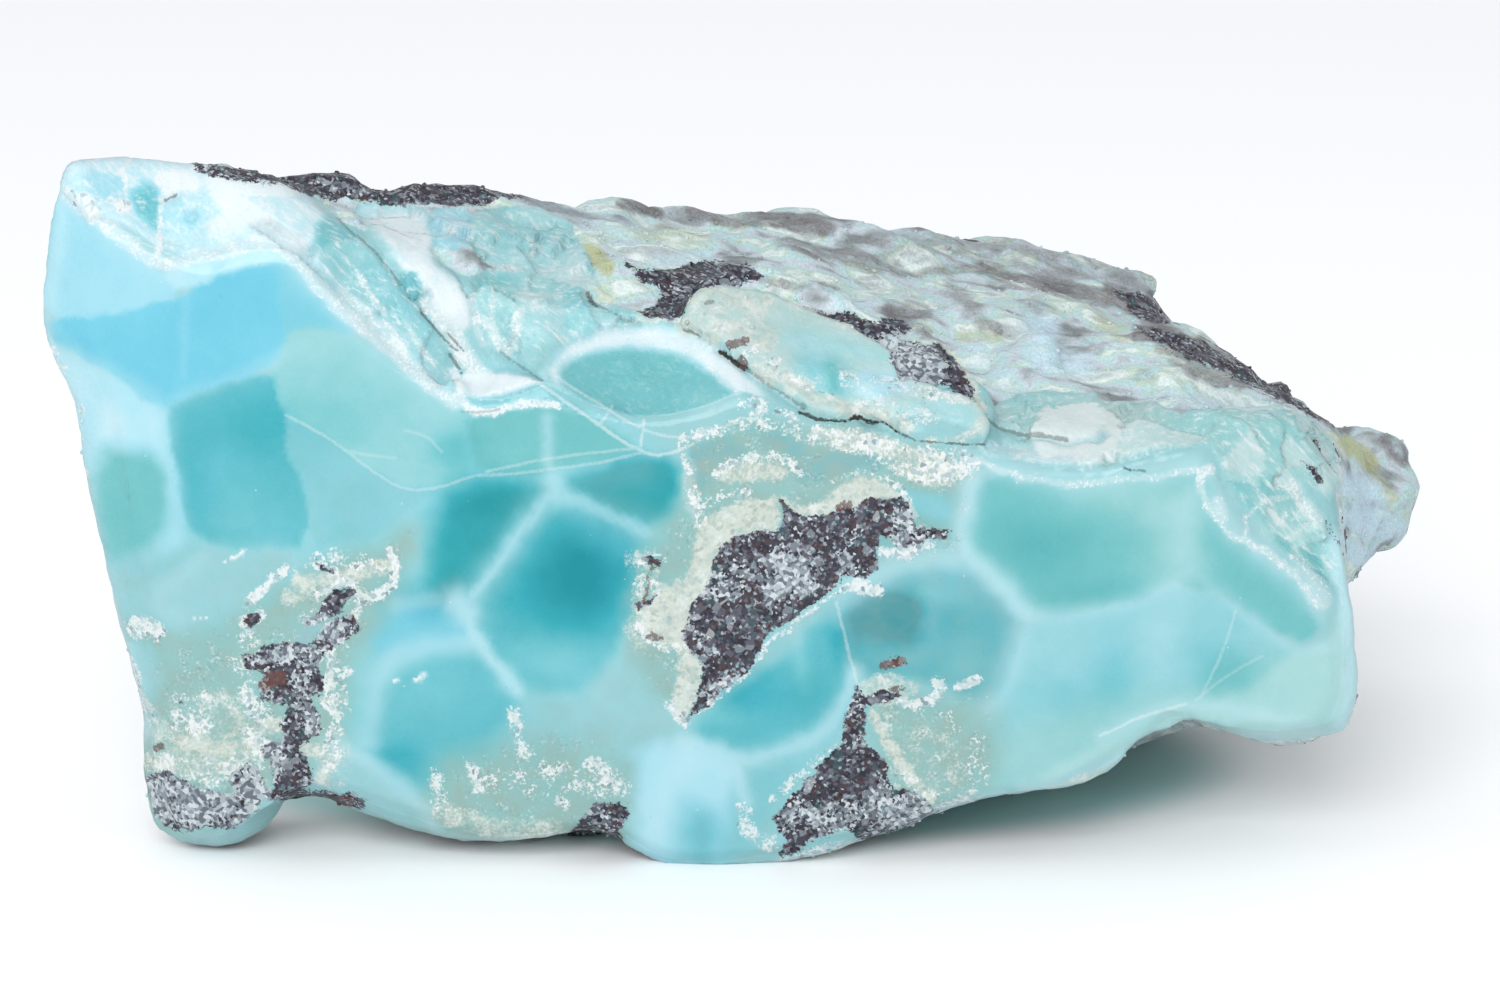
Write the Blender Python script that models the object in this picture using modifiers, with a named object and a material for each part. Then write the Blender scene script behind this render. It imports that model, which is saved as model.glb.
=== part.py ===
"""A raw piece of larimar: blue pectolite in its dark host rock, one side cut and polished, the rest as it broke.

The stone is one solid. A loft through slices, taken one behind the other from the polished face to the back,
gives its main form. Lumps and slabs are joined to it, chips are broken out of its edges, and the broken skin is
then roughened, beds and all, before the stone is set down on the patches it rests on.

Outlines are in millimetres: x from the stone's left end, z up from the table and y back from the polished face.
The finished solid is in metres, with its origin under the middle of its box and +Z up.
"""

import math

import bmesh
import bpy
from mathutils import Matrix, Vector, noise

MM = 0.001

LENGTH = 124.3
DEPTH = 65.0
FACE_CENTRE = (58.0, 26.0)
FACE_SAG = 2.2
FACE_HALF_LENGTH = 56.0
FACE_HALF_HEIGHT = 52.0
ROLLED_EDGE_INSET = 0.94
ROLLED_EDGE_DROP = 1.1

TOP_STEPS = 64
SIDE_STEPS = 26
VOXEL = 0.75
TRIANGLE_BUDGET = 9300

LUMP_SIZE = 12.0
LUMP_HEIGHT = 1.5
KNOB_SIZE = 5.0
KNOB_HEIGHT = 1.0
KNOB_OFFSET = Vector((7.0, 3.0, 5.0))
BED_DIP = Vector((0.27, 0.1, 1.0)).normalized()
BED_THICKNESS = 6.5
BED_STEP = 1.6
BED_WANDER = 1.9
BED_WANDER_SIZE = 18.0
BED_RISE = 0.25
BED_MIDDLE = 0.4
BED_PATCH_SIZE = 13.0
BED_PATCH_OFFSET = Vector((2.0, 9.0, 4.0))
BED_PATCH_EDGE = (-0.25, 0.35)
POLISH_ENDS = (0.4, 1.6)
POLISH_TURNS = (0.12, 0.4)
GLASSY_ENDS = (4.0, 14.0)
GLASSY_SHARE = 0.35

ROCK_COLOUR = (0.38, 0.72, 0.74, 1.0)
ROCK_ROUGHNESS = 0.32

# Each slice gives its depth and the four sides of its outline, clockwise as seen from the front. A side starts
# at its own corner and runs to the corner where the next side starts.
SLICES = (
    {
        "depth": 0.0,
        "top": (
            (3.6, 58.6), (6.5, 56.6), (10.8, 54.2), (15.0, 55.2), (19.7, 55.6), (23.5, 52.0), (28.0, 47.0),
            (33.0, 43.6), (38.0, 42.4), (45.0, 44.8), (52.0, 46.0), (57.5, 44.0), (63.0, 41.8), (70.0, 39.6),
            (76.0, 38.0), (82.0, 36.8), (89.0, 36.0), (95.0, 37.0), (100.0, 38.0),
        ),
        "right": ((105.5, 37.6), (108.6, 34.5), (110.8, 29.6), (112.4, 25.2), (113.4, 20.0), (113.4, 15.4)),
        "bottom": (
            (112.6, 12.0), (107.4, 11.5), (102.2, 12.2), (98.7, 13.4), (96.2, 11.2), (92.7, 8.9), (90.2, 7.0),
            (86.7, 6.2), (82.4, 5.8), (78.1, 4.8), (73.7, 3.4), (69.4, 1.7), (65.1, 0.6), (60.7, 0.0),
            (56.0, -0.5), (52.5, -0.2), (49.8, 1.6), (47.0, 2.8), (43.0, 2.4), (37.2, 1.9), (32.9, 2.6),
            (28.6, 4.1), (25.1, 5.3), (21.5, 6.9), (19.0, 6.0), (16.8, 3.8), (13.4, 2.4),
        ),
        "left": (
            (9.6, 3.2), (8.1, 8.0), (8.4, 12.0), (7.2, 16.3), (6.3, 20.8), (4.9, 26.1), (4.3, 31.0), (4.1, 36.0),
            (3.4, 41.0), (2.3, 44.2), (0.8, 46.4), (0.3, 49.0), (0.8, 52.0), (1.6, 56.0),
        ),
    },
    {
        "depth": 5.0,
        "top": (
            (2.7, 62.0), (11.0, 61.6), (19.8, 59.0), (27.0, 55.2), (36.0, 50.5), (45.0, 48.8), (52.0, 47.8),
            (58.0, 46.0), (64.0, 43.8), (70.0, 41.5), (77.0, 39.8), (84.0, 38.4), (92.0, 37.8), (99.0, 39.0),
        ),
        "right": ((106.8, 38.6), (109.6, 34.5), (111.6, 29.0), (112.6, 23.0), (113.6, 18.0), (113.8, 14.0)),
        "bottom": (
            (112.6, 10.8), (106.0, 10.2), (102.0, 11.4), (98.7, 13.0), (95.5, 10.6), (91.0, 7.6), (86.0, 6.0),
            (80.0, 5.0), (74.0, 2.6), (68.0, 0.6), (60.0, -0.6), (53.0, -0.6), (48.0, 1.6), (42.0, 1.6),
            (36.0, 1.0), (30.0, 2.2), (25.0, 4.4), (21.5, 6.0), (18.5, 4.0), (14.5, 0.4), (11.0, 0.2),
        ),
        "left": (
            (7.6, 2.6), (6.9, 9.0), (6.6, 15.0), (5.2, 21.0), (3.9, 27.0), (3.2, 33.0), (2.8, 38.0), (1.8, 42.0),
            (-0.2, 45.2), (-0.5, 48.5), (-0.1, 53.0), (0.9, 59.0),
        ),
    },
    {
        "depth": 12.0,
        "top": (
            (11.0, 59.8), (20.0, 58.8), (28.0, 56.1), (36.0, 53.6), (45.0, 51.5), (53.0, 49.2), (60.0, 46.8),
            (67.0, 44.5), (75.0, 42.6), (83.0, 40.8), (91.0, 39.6), (99.0, 39.6),
        ),
        "right": ((107.5, 38.0), (110.5, 34.0), (112.2, 28.5), (112.8, 22.0), (113.0, 16.0)),
        "bottom": (
            (111.0, 9.5), (105.0, 8.8), (99.0, 10.5), (94.0, 8.0), (88.0, 5.4), (80.0, 3.6), (72.0, 1.0),
            (62.0, -1.2), (50.0, -1.2), (42.0, -0.2), (34.0, 0.4), (27.0, 3.2), (21.5, 5.0), (17.5, 1.6),
            (14.0, -0.4),
        ),
        "left": (
            (10.5, 1.6), (9.0, 8.0), (8.4, 16.0), (7.6, 24.0), (7.2, 32.0), (7.4, 40.0), (7.2, 47.0), (7.8, 54.0),
        ),
    },
    {
        "depth": 20.0,
        "top": (
            (29.5, 56.3), (37.0, 54.8), (45.0, 52.9), (53.0, 50.2), (61.0, 47.8), (69.0, 45.6), (77.0, 43.8),
            (85.0, 42.2), (93.0, 40.6), (100.0, 39.4),
        ),
        "right": ((108.0, 36.4), (111.0, 32.0), (112.6, 27.0), (112.8, 21.0), (112.4, 15.0)),
        "bottom": (
            (110.0, 8.0), (102.0, 7.4), (96.0, 7.2), (88.0, 4.0), (78.0, 1.4), (66.0, -1.2), (52.0, -1.5),
            (42.0, -1.0), (34.0, 1.5), (28.0, 5.0),
        ),
        "left": ((23.0, 10.0), (20.5, 18.0), (19.5, 27.0), (20.5, 36.0), (22.5, 44.0), (25.0, 51.0)),
    },
    {
        "depth": 30.0,
        "top": (
            (46.0, 54.0), (53.0, 51.8), (61.0, 49.6), (69.0, 47.4), (77.0, 45.4), (85.0, 43.4), (93.0, 41.4),
            (100.0, 39.2),
        ),
        "right": ((108.5, 35.0), (112.0, 31.0), (113.6, 26.0), (113.6, 20.5), (112.8, 14.0)),
        "bottom": (
            (109.0, 7.0), (101.0, 6.0), (92.0, 3.4), (82.0, 0.4), (72.0, -1.5), (60.0, -1.5), (50.0, -0.4),
            (44.0, 3.0),
        ),
        "left": ((38.0, 9.0), (34.5, 18.0), (33.5, 27.0), (35.0, 36.0), (38.0, 44.5), (41.5, 50.5)),
    },
    {
        "depth": 42.0,
        "top": ((62.5, 50.0), (69.0, 48.4), (77.0, 46.4), (85.0, 44.0), (93.0, 41.4), (100.0, 38.2)),
        "right": ((109.0, 33.5), (115.5, 29.0), (119.8, 26.0), (120.4, 21.5), (118.6, 16.6)),
        "bottom": (
            (115.6, 13.0), (108.0, 6.0), (98.0, 3.4), (88.0, -0.4), (78.0, -1.5), (68.0, -0.8), (61.0, 3.0),
        ),
        "left": ((54.0, 9.5), (50.0, 18.0), (49.5, 27.0), (51.5, 36.0), (56.0, 44.0)),
    },
    {
        "depth": 52.0,
        "top": ((76.0, 46.0), (82.0, 45.6), (88.0, 43.6), (95.0, 40.4), (101.0, 36.6)),
        "right": ((109.0, 31.5), (115.5, 27.0), (120.4, 25.0), (121.4, 21.0), (118.6, 17.0)),
        "bottom": ((113.0, 13.0), (106.0, 7.0), (97.0, 2.0), (88.0, -1.0), (80.0, 1.5)),
        "left": ((71.0, 7.5), (66.0, 17.0), (65.5, 27.0), (68.5, 37.0)),
    },
    {
        "depth": 60.0,
        "top": ((88.0, 42.0), (93.0, 41.6), (98.0, 38.5), (102.0, 34.5)),
        "right": ((108.0, 30.5), (113.0, 27.5), (115.5, 25.0), (116.0, 21.0)),
        "bottom": ((112.0, 16.0), (107.0, 11.0), (99.0, 7.0), (92.0, 6.0)),
        "left": ((84.0, 11.0), (80.5, 20.0), (80.5, 29.0), (84.0, 37.0)),
    },
    {
        "depth": DEPTH,
        "top": ((95.0, 36.5), (99.0, 35.6), (103.0, 32.0)),
        "right": ((107.0, 28.5), (109.5, 25.0), (109.0, 21.0)),
        "bottom": ((106.0, 17.5), (102.0, 15.0), (97.0, 14.5)),
        "left": ((92.5, 17.0), (90.0, 24.0), (91.5, 31.5)),
    },
)

# Rounded masses that stand out of the loft: centre, half sizes, and turn about each axis in degrees.
LUMPS = {
    "foot": ((13.6, 7.6, 6.2), (6.2, 6.6, 6.6), (0, 0, 10)),
    "rear_knob": ((116.8, 48.0, 21.4), (6.0, 8.0, 5.6), (0, 8, 15)),
    "rear_knob_brow": ((119.0, 49.5, 24.4), (4.2, 6.0, 3.5), (0, 8, 0)),
    "ridge_end": ((110.6, 52.0, 27.4), (5.4, 5.5, 2.6), (0, 28, -10)),
    "ridge_nub": ((110.4, 52.0, 30.6), (1.9, 2.6, 2.0), (0, 0, 0)),
    "ridge_hump": ((85.5, 57.0, 40.2), (15.0, 6.0, 4.0), (0, 8, 20)),
    "ridge_swell": ((37.0, 21.5, 53.3), (12.5, 5.0, 3.5), (0, 11, 38)),
    "back_swell": ((52.0, 34.0, 24.0), (16.0, 9.0, 15.0), (0, 0, 42)),
    "shoulder": ((104.0, 22.0, 33.0), (9.0, 10.0, 5.0), (0, 18, 0)),
}

# Flat beds of rock that lie on the broken top: where each starts, the way its length runs, the way its upper
# side faces, half its thickness, and its outline in its own plane.
SLABS = {
    "green_plate": {
        "start": (55.6, 7.6, 47.6),
        "along": (24.5, -4.6, -9.6),
        "faces": (0.16, -0.62, 0.77),
        "half_thickness": 1.8,
        "outline": (
            (0.0, 0.6), (1.6, 4.4), (6.5, 6.4), (13.0, 6.6), (19.0, 5.0), (24.0, 4.0), (26.6, 1.8), (26.6, -0.8),
            (24.4, -2.4), (20.0, -2.6), (16.0, -1.4), (11.0, -2.6), (6.0, -3.4), (2.0, -2.0),
        ),
    },
    "ridge_bed": {
        "start": (70.0, 47.5, 44.3),
        "along": (28.0, 11.0, -6.6),
        "faces": (0.28, 0.0, 0.96),
        "half_thickness": 1.6,
        "outline": (
            (0.0, 0.5), (5.0, 3.6), (12.0, 4.6), (20.0, 3.8), (27.0, 2.6), (30.6, 0.4), (29.4, -4.5), (22.0, -6.0),
            (14.0, -4.2), (6.0, -5.0), (1.0, -3.0),
        ),
    },
    "middle_bed": {
        "start": (82.0, 14.0, 40.6),
        "along": (19.0, 3.0, -1.6),
        "faces": (0.06, -0.3, 0.95),
        "half_thickness": 1.3,
        "outline": (
            (0.0, 0.0), (3.0, 4.6), (9.0, 6.0), (15.0, 4.6), (18.6, 1.0), (16.5, -2.6), (10.0, -3.4), (4.0, -2.8),
        ),
    },
    "left_bed": {
        "start": (40.0, 15.0, 52.6),
        "along": (24.0, 7.0, -6.4),
        "faces": (0.2, -0.2, 0.95),
        "half_thickness": 1.1,
        "outline": (
            (0.0, 0.0), (4.0, 4.0), (11.0, 5.4), (19.0, 4.4), (25.0, 1.6), (22.0, -1.6), (14.0, -2.6), (6.0, -2.2),
        ),
    },
}

# Hollows where flakes broke away: centre, half sizes, and turn about each axis in degrees.
CHIPS = {
    "corner_flake": ((9.5, -7.7, 66.3), (15.0, 15.0, 15.0), (0, 0, 0)),
    "long_flake": ((34.0, -9.0, 59.0), (19.0, 15.0, 15.5), (0, 38, 0)),
    "lens_flake": ((51.5, -14.1, 56.6), (22.0, 22.0, 22.0), (0, 0, 0)),
    "right_flake": ((118.7, -20.9, 42.2), (30.0, 30.0, 30.0), (0, 0, 0)),
    "under_flake": ((98.5, -1.0, 4.0), (5.0, 26.0, 8.6), (0, -28, 0)),
    "rear_groove": ((119.0, 27.0, 38.5), (8.0, 8.0, 13.0), (0, 8, 0)),
    "step_behind_ridge": ((108.6, 59.5, 40.5), (9.0, 9.5, 7.0), (0, 24, 10)),
    "back_scoop": ((26.0, 42.0, 40.0), (20.0, 18.0, 17.0), (0, 0, 40)),
    "left_nick": ((-4.4, 8.0, 40.4), (5.5, 7.5, 4.4), (0, 18, 0)),
}


def face_depth(x, z):
    """How far the polished face lies behind its foremost point: a shallow dome, rounder towards the ends."""
    across = (x - FACE_CENTRE[0]) / FACE_HALF_LENGTH
    up = (z - FACE_CENTRE[1]) / FACE_HALF_HEIGHT
    return FACE_SAG * (across**2 + up**2)


def smooth_path(points, count):
    """Count points, evenly spaced, on a smooth curve from the first point up to, and not including, the last."""
    fine = []
    padded = [points[0], *points, points[-1]]
    for before, start, end, after in zip(padded, padded[1:], padded[2:], padded[3:]):
        for step in range(8):
            t = step / 8
            fine.append(
                Vector(
                    0.5 * (2 * b + (c - a) * t + (2 * a - 5 * b + 4 * c - d) * t**2 + (3 * (b - c) + d - a) * t**3)
                    for a, b, c, d in zip(before, start, end, after)
                )
            )
    fine.append(Vector(points[-1]))
    reach = [0.0]
    for first, second in zip(fine, fine[1:]):
        reach.append(reach[-1] + (second - first).length)
    path, at = [], 0
    for step in range(count):
        wanted = reach[-1] * step / count
        while reach[at + 1] < wanted:
            at += 1
        path.append(fine[at].lerp(fine[at + 1], (wanted - reach[at]) / (reach[at + 1] - reach[at])))
    return path


def slice_sides(outline):
    """The four sides of a slice, sampled so that every slice has the same number of points on each side."""
    names = ("top", "right", "bottom", "left")
    steps = (TOP_STEPS, SIDE_STEPS, TOP_STEPS, SIDE_STEPS)
    sides = []
    for place, (name, count) in enumerate(zip(names, steps)):
        next_corner = outline[names[(place + 1) % 4]][0]
        sides.append(smooth_path([*outline[name], next_corner], count))
    return sides


def patch_grid(sides):
    """Rows of points that fill a slice between its four sides, from its top side down to its bottom side."""
    top, right, bottom, left = sides
    across = [*top, right[0]]
    down_right = [*right, bottom[0]]
    back = [*bottom, left[0]][::-1]
    down_left = [*left, top[0]][::-1]
    rows = []
    for j in range(SIDE_STEPS + 1):
        t = j / SIDE_STEPS
        row = []
        for i in range(TOP_STEPS + 1):
            s = i / TOP_STEPS
            corners = (1 - t) * ((1 - s) * across[0] + s * across[-1]) + t * ((1 - s) * back[0] + s * back[-1])
            row.append((1 - t) * across[i] + t * back[i] + (1 - s) * down_left[j] + s * down_right[j] - corners)
        rows.append(row)
    return rows


def ring_of(grid):
    """The outer points of a grid in order, clockwise from its upper left corner."""
    right = [row[-1] for row in grid[1:-1]]
    left = [row[0] for row in grid[1:-1]]
    return [*grid[0], *right, *grid[-1][::-1], *left[::-1]]


def add_patch(shape, rows, clockwise):
    """A grid of vertices made into quads, which face the front when clockwise is true."""
    for upper, lower in zip(rows, rows[1:]):
        for i in range(len(upper) - 1):
            corners = [upper[i], upper[i + 1], lower[i + 1], lower[i]]
            shape.faces.new(corners[::-1] if clockwise else corners)


def lofted_body():
    """The closed loft: the domed face, its rolled edge, the slices behind it and the flat end of the last one."""
    shape = bmesh.new()
    outlines = [patch_grid(slice_sides(outline)) for outline in SLICES]
    centre = Vector(FACE_CENTRE)
    front = []
    for row in outlines[0]:
        inset = [centre + (point - centre) * ROLLED_EDGE_INSET for point in row]
        front.append([shape.verts.new((p.x, face_depth(p.x, p.y), p.y)) for p in inset])
    add_patch(shape, front, True)
    rings = [ring_of(front)]
    for outline, grid in zip(SLICES[:-1], outlines[:-1]):
        ring = []
        for point in ring_of(grid):
            start = face_depth(point.x, point.y) + ROLLED_EDGE_DROP if outline["depth"] == 0 else 0
            ring.append(shape.verts.new((point.x, outline["depth"] + start, point.y)))
        rings.append(ring)
    back = [[shape.verts.new((p.x, SLICES[-1]["depth"], p.y)) for p in row] for row in outlines[-1]]
    add_patch(shape, back, False)
    rings.append(ring_of(back))
    for near, far in zip(rings, rings[1:]):
        for i, vertex in enumerate(near):
            after = (i + 1) % len(near)
            shape.faces.new((vertex, near[after], far[after], far[i]))
    bmesh.ops.recalc_face_normals(shape, faces=shape.faces)
    return shape


def object_from(shape, name, collection):
    """A mesh object made from a bmesh, which is then freed."""
    mesh = bpy.data.meshes.new(name)
    shape.to_mesh(mesh)
    shape.free()
    thing = bpy.data.objects.new(name, mesh)
    collection.objects.link(thing)
    return thing


def helper(thing):
    """Marks an object as a tool of the modelling that isn't part of the stone."""
    thing.hide_render = True
    thing.display_type = "WIRE"
    return thing


def add_ellipsoid(name, centre, half_sizes, turns, collection):
    """A rounded mass of the given half sizes, turned about X, Y and Z in degrees."""
    shape = bmesh.new()
    bmesh.ops.create_icosphere(shape, subdivisions=4, radius=1.0)
    turn = Matrix.Identity(4)
    for angle, axis in zip(turns, "XYZ"):
        turn = Matrix.Rotation(math.radians(angle), 4, axis) @ turn
    size = Matrix.Diagonal((*half_sizes, 1.0))
    bmesh.ops.transform(shape, matrix=Matrix.Translation(centre) @ turn @ size, verts=shape.verts)
    return helper(object_from(shape, name, collection))


def add_slab(name, start, along, faces, half_thickness, outline, collection):
    """A thin bed of rock: a flat outline given its thickness, laid with its length along one way."""
    curve = bpy.data.curves.new(name, "CURVE")
    curve.dimensions = "2D"
    curve.fill_mode = "BOTH"
    curve.extrude = half_thickness * 0.55
    curve.bevel_depth = half_thickness * 0.45
    curve.bevel_resolution = 2
    spline = curve.splines.new("BEZIER")
    spline.bezier_points.add(len(outline) - 1)
    for knot, (x, y) in zip(spline.bezier_points, outline):
        knot.co = (x, y, 0)
        knot.handle_left_type = knot.handle_right_type = "AUTO"
    spline.use_cyclic_u = True
    flat = bpy.data.objects.new(name + "_outline", curve)
    collection.objects.link(flat)
    length_way = Vector(along).normalized()
    up_way = Vector(faces)
    up_way = (up_way - up_way.dot(length_way) * length_way).normalized()
    across_way = up_way.cross(length_way)
    lay = Matrix((length_way, across_way, up_way)).transposed().to_4x4()
    slab = as_mesh(flat, name, collection)
    slab.data.transform(Matrix.Translation(start) @ lay)
    return helper(slab)


def as_mesh(thing, name, collection):
    """A plain mesh object of what the viewport shows of an object, which is then removed."""
    bpy.context.view_layer.update()
    shown = thing.evaluated_get(bpy.context.evaluated_depsgraph_get())
    mesh = bpy.data.meshes.new_from_object(shown)
    mesh.name = name
    shape = bmesh.new()
    shape.from_mesh(mesh)
    bmesh.ops.remove_doubles(shape, verts=shape.verts, dist=0.0001)
    shape.to_mesh(mesh)
    shape.free()
    made = bpy.data.objects.new(name, mesh)
    collection.objects.link(made)
    bpy.data.objects.remove(thing)
    return made


def new_collection(name):
    """A collection linked to the scene."""
    collection = bpy.data.collections.new(name)
    bpy.context.scene.collection.children.link(collection)
    return collection


def add_boolean(body, operation, operand):
    """A Boolean with everything in a collection, or with one object."""
    boolean = body.modifiers.new(operation.title(), "BOOLEAN")
    boolean.operation = operation
    if isinstance(operand, bpy.types.Collection):
        boolean.operand_type = "COLLECTION"
        boolean.collection = operand
    else:
        boolean.object = operand
    return boolean


def smoothstep(low, high, value):
    """0 up to low, 1 from high, and a smooth rise between them."""
    t = min(max((value - low) / (high - low), 0.0), 1.0)
    return t * t * (3 - 2 * t)


def brokenness(point, normal):
    """0 on the polished face and 1 on the broken skin behind its edge."""
    behind = smoothstep(*POLISH_ENDS, point.y - face_depth(point.x, point.z))
    turned = smoothstep(*POLISH_TURNS, 1.0 + normal.y)
    return max(behind, turned)


def bed_step(point):
    """A worn stair of rock beds: each bed stands proud at its lower edge and falls back above it."""
    wander = BED_WANDER * noise.noise(point / BED_WANDER_SIZE)
    share = (point.dot(BED_DIP) / BED_THICKNESS + wander) % 1.0
    return smoothstep(0.0, BED_RISE, share) * (1.0 - share) - BED_MIDDLE


def roughen(body):
    """Moves the broken skin in and out: broad lumps, smaller knobs and the edges of the beds.

    The glassy breaks along the edge of the polished face stay the smoothest.
    """
    mesh = body.data
    normals = [vertex.normal.copy() for vertex in mesh.vertices]
    for vertex, normal in zip(mesh.vertices, normals):
        point = vertex.co.copy()
        rough = brokenness(point, normal)
        if rough == 0.0:
            continue
        behind = smoothstep(*GLASSY_ENDS, point.y)
        lumps = LUMP_HEIGHT * noise.noise(point / LUMP_SIZE)
        knobs = KNOB_HEIGHT * noise.noise(point / KNOB_SIZE + KNOB_OFFSET)
        patchy = smoothstep(*BED_PATCH_EDGE, noise.noise(point / BED_PATCH_SIZE + BED_PATCH_OFFSET))
        beds = BED_STEP * patchy * behind * bed_step(point)
        strength = GLASSY_SHARE + (1.0 - GLASSY_SHARE) * behind
        vertex.co = point + normal * rough * ((lumps + knobs) * strength + beds)
    mesh.update()


def set_down(body):
    """Scales the stone to metres, with its origin under the middle of its box."""
    low = Vector(min(v.co[i] for v in body.data.vertices) for i in range(3))
    high = Vector(max(v.co[i] for v in body.data.vertices) for i in range(3))
    middle = (low + high) / 2
    shift = Matrix.Translation((-middle.x, -middle.y, -low.z))
    body.data.transform(Matrix.Scale(MM, 4) @ shift)


def rock_material():
    """Pale blue-green stone with a satin skin."""
    material = bpy.data.materials.new("larimar")
    material.use_nodes = True
    shader = material.node_tree.nodes["Principled BSDF"]
    shader.inputs["Base Color"].default_value = ROCK_COLOUR
    shader.inputs["Roughness"].default_value = ROCK_ROUGHNESS
    shader.inputs["Metallic"].default_value = 0.0
    material.diffuse_color = ROCK_COLOUR
    return material


def base_cutter(collection):
    """A block that fills everything below the table."""
    shape = bmesh.new()
    bmesh.ops.create_cube(shape, size=1.0)
    size = Matrix.Diagonal((2 * LENGTH, 2 * DEPTH, 20.0, 1.0))
    middle = Matrix.Translation((LENGTH / 2, DEPTH / 2, -10.0))
    bmesh.ops.transform(shape, matrix=middle @ size, verts=shape.verts)
    return helper(object_from(shape, "base_cutter", collection))


def build_stone():
    """The whole stone as one object named larimar."""
    parts = new_collection("raw_larimar")
    masses = new_collection("masses_to_join")
    hollows = new_collection("hollows_to_cut")
    for name, (centre, half_sizes, turns) in LUMPS.items():
        add_ellipsoid(name, centre, half_sizes, turns, masses)
    for name, slab in SLABS.items():
        add_slab(name, **slab, collection=masses)
    for name, (centre, half_sizes, turns) in CHIPS.items():
        add_ellipsoid(name, centre, half_sizes, turns, hollows)

    block = object_from(lofted_body(), "block", parts)
    add_boolean(block, "UNION", masses)
    add_boolean(block, "DIFFERENCE", hollows)
    remesh = block.modifiers.new("Even skin", "REMESH")
    remesh.mode = "VOXEL"
    remesh.voxel_size = VOXEL
    skin = as_mesh(block, "skin", parts)
    roughen(skin)

    skin.data.calc_loop_triangles()
    decimate = skin.modifiers.new("Fewer faces", "DECIMATE")
    decimate.ratio = TRIANGLE_BUDGET / len(skin.data.loop_triangles)
    decimate.use_collapse_triangulate = True
    add_boolean(skin, "DIFFERENCE", base_cutter(hollows))
    stone = as_mesh(skin, "larimar", parts)
    set_down(stone)
    stone.data.materials.clear()
    stone.data.materials.append(rock_material())
    stone.data.shade_smooth()
    stone.data.set_sharp_from_angle(angle=math.radians(40))
    return stone


def clear_scene():
    """Removes every object that is in the scene."""
    for thing in list(bpy.data.objects):
        bpy.data.objects.remove(thing)


clear_scene()
build_stone()
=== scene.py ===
"""The looks of a raw larimar: blue pectolite sawn and polished on one side, with its basalt matrix behind.

Lengths are millimetres in the stone's frame (+X to the right, +Y away from the camera, +Z up, base at 0)
until a mesh is made, which is in metres. Markings are placed by pixels of the photograph, 1500 across.
"""

import logging
import math
from dataclasses import dataclass, field
from enum import Enum
from typing import Callable, Optional, Sequence, Union

import bpy
import numpy as np
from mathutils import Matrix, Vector, noise
from mathutils.bvhtree import BVHTree
from mathutils.kdtree import KDTree


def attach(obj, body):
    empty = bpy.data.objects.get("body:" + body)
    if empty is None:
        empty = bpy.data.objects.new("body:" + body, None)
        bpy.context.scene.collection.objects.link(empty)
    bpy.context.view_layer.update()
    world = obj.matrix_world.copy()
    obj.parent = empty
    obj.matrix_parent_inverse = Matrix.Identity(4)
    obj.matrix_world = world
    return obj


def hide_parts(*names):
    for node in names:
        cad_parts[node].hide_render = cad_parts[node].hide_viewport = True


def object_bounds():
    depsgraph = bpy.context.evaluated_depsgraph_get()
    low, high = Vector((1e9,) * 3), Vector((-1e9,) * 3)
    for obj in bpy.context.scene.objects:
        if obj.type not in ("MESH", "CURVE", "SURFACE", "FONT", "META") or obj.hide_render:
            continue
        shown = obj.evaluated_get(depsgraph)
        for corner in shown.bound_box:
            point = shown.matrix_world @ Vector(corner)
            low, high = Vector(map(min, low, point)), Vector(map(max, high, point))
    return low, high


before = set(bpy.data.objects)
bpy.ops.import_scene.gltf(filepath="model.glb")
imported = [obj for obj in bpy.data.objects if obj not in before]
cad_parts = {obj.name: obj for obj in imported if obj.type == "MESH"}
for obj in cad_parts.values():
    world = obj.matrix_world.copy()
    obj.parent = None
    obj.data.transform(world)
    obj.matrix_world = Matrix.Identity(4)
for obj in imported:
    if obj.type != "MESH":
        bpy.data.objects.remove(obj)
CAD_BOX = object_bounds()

LOG = logging.getLogger("larimar")

MM = 0.001
NODE = "larimar"
STONE_MATERIAL = "larimar_stone"

PHOTO_WIDTH = 1500
PHOTO_HEIGHT = 994

Points = np.ndarray
Line = Sequence[tuple[float, float]]
Colour = tuple[float, float, float]
Operand = Union["Wire", float]
Edge = tuple[float, float]


def srgb(red: int, green: int, blue: int) -> Colour:
    """Turns a colour in 0 to 255 screen steps into Blender's linear numbers.

    Args:
        red, green, blue: the screen colour.

    Returns:
        The linear colour.
    """
    steps = (red, green, blue)
    return tuple(((s / 255 + 0.055) / 1.055) ** 2.4 if s > 10 else s / 3295 for s in steps)


def smoothstep(low: float, high: float, value: Points) -> Points:
    """Rises smoothly from 0 at low to 1 at high.

    Args:
        low, high: where the rise starts and ends; high may be the smaller.
        value: what is graded.

    Returns:
        The grade of each value.
    """
    t = np.clip((value - low) / (high - low), 0.0, 1.0)
    return t * t * (3 - 2 * t)


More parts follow.
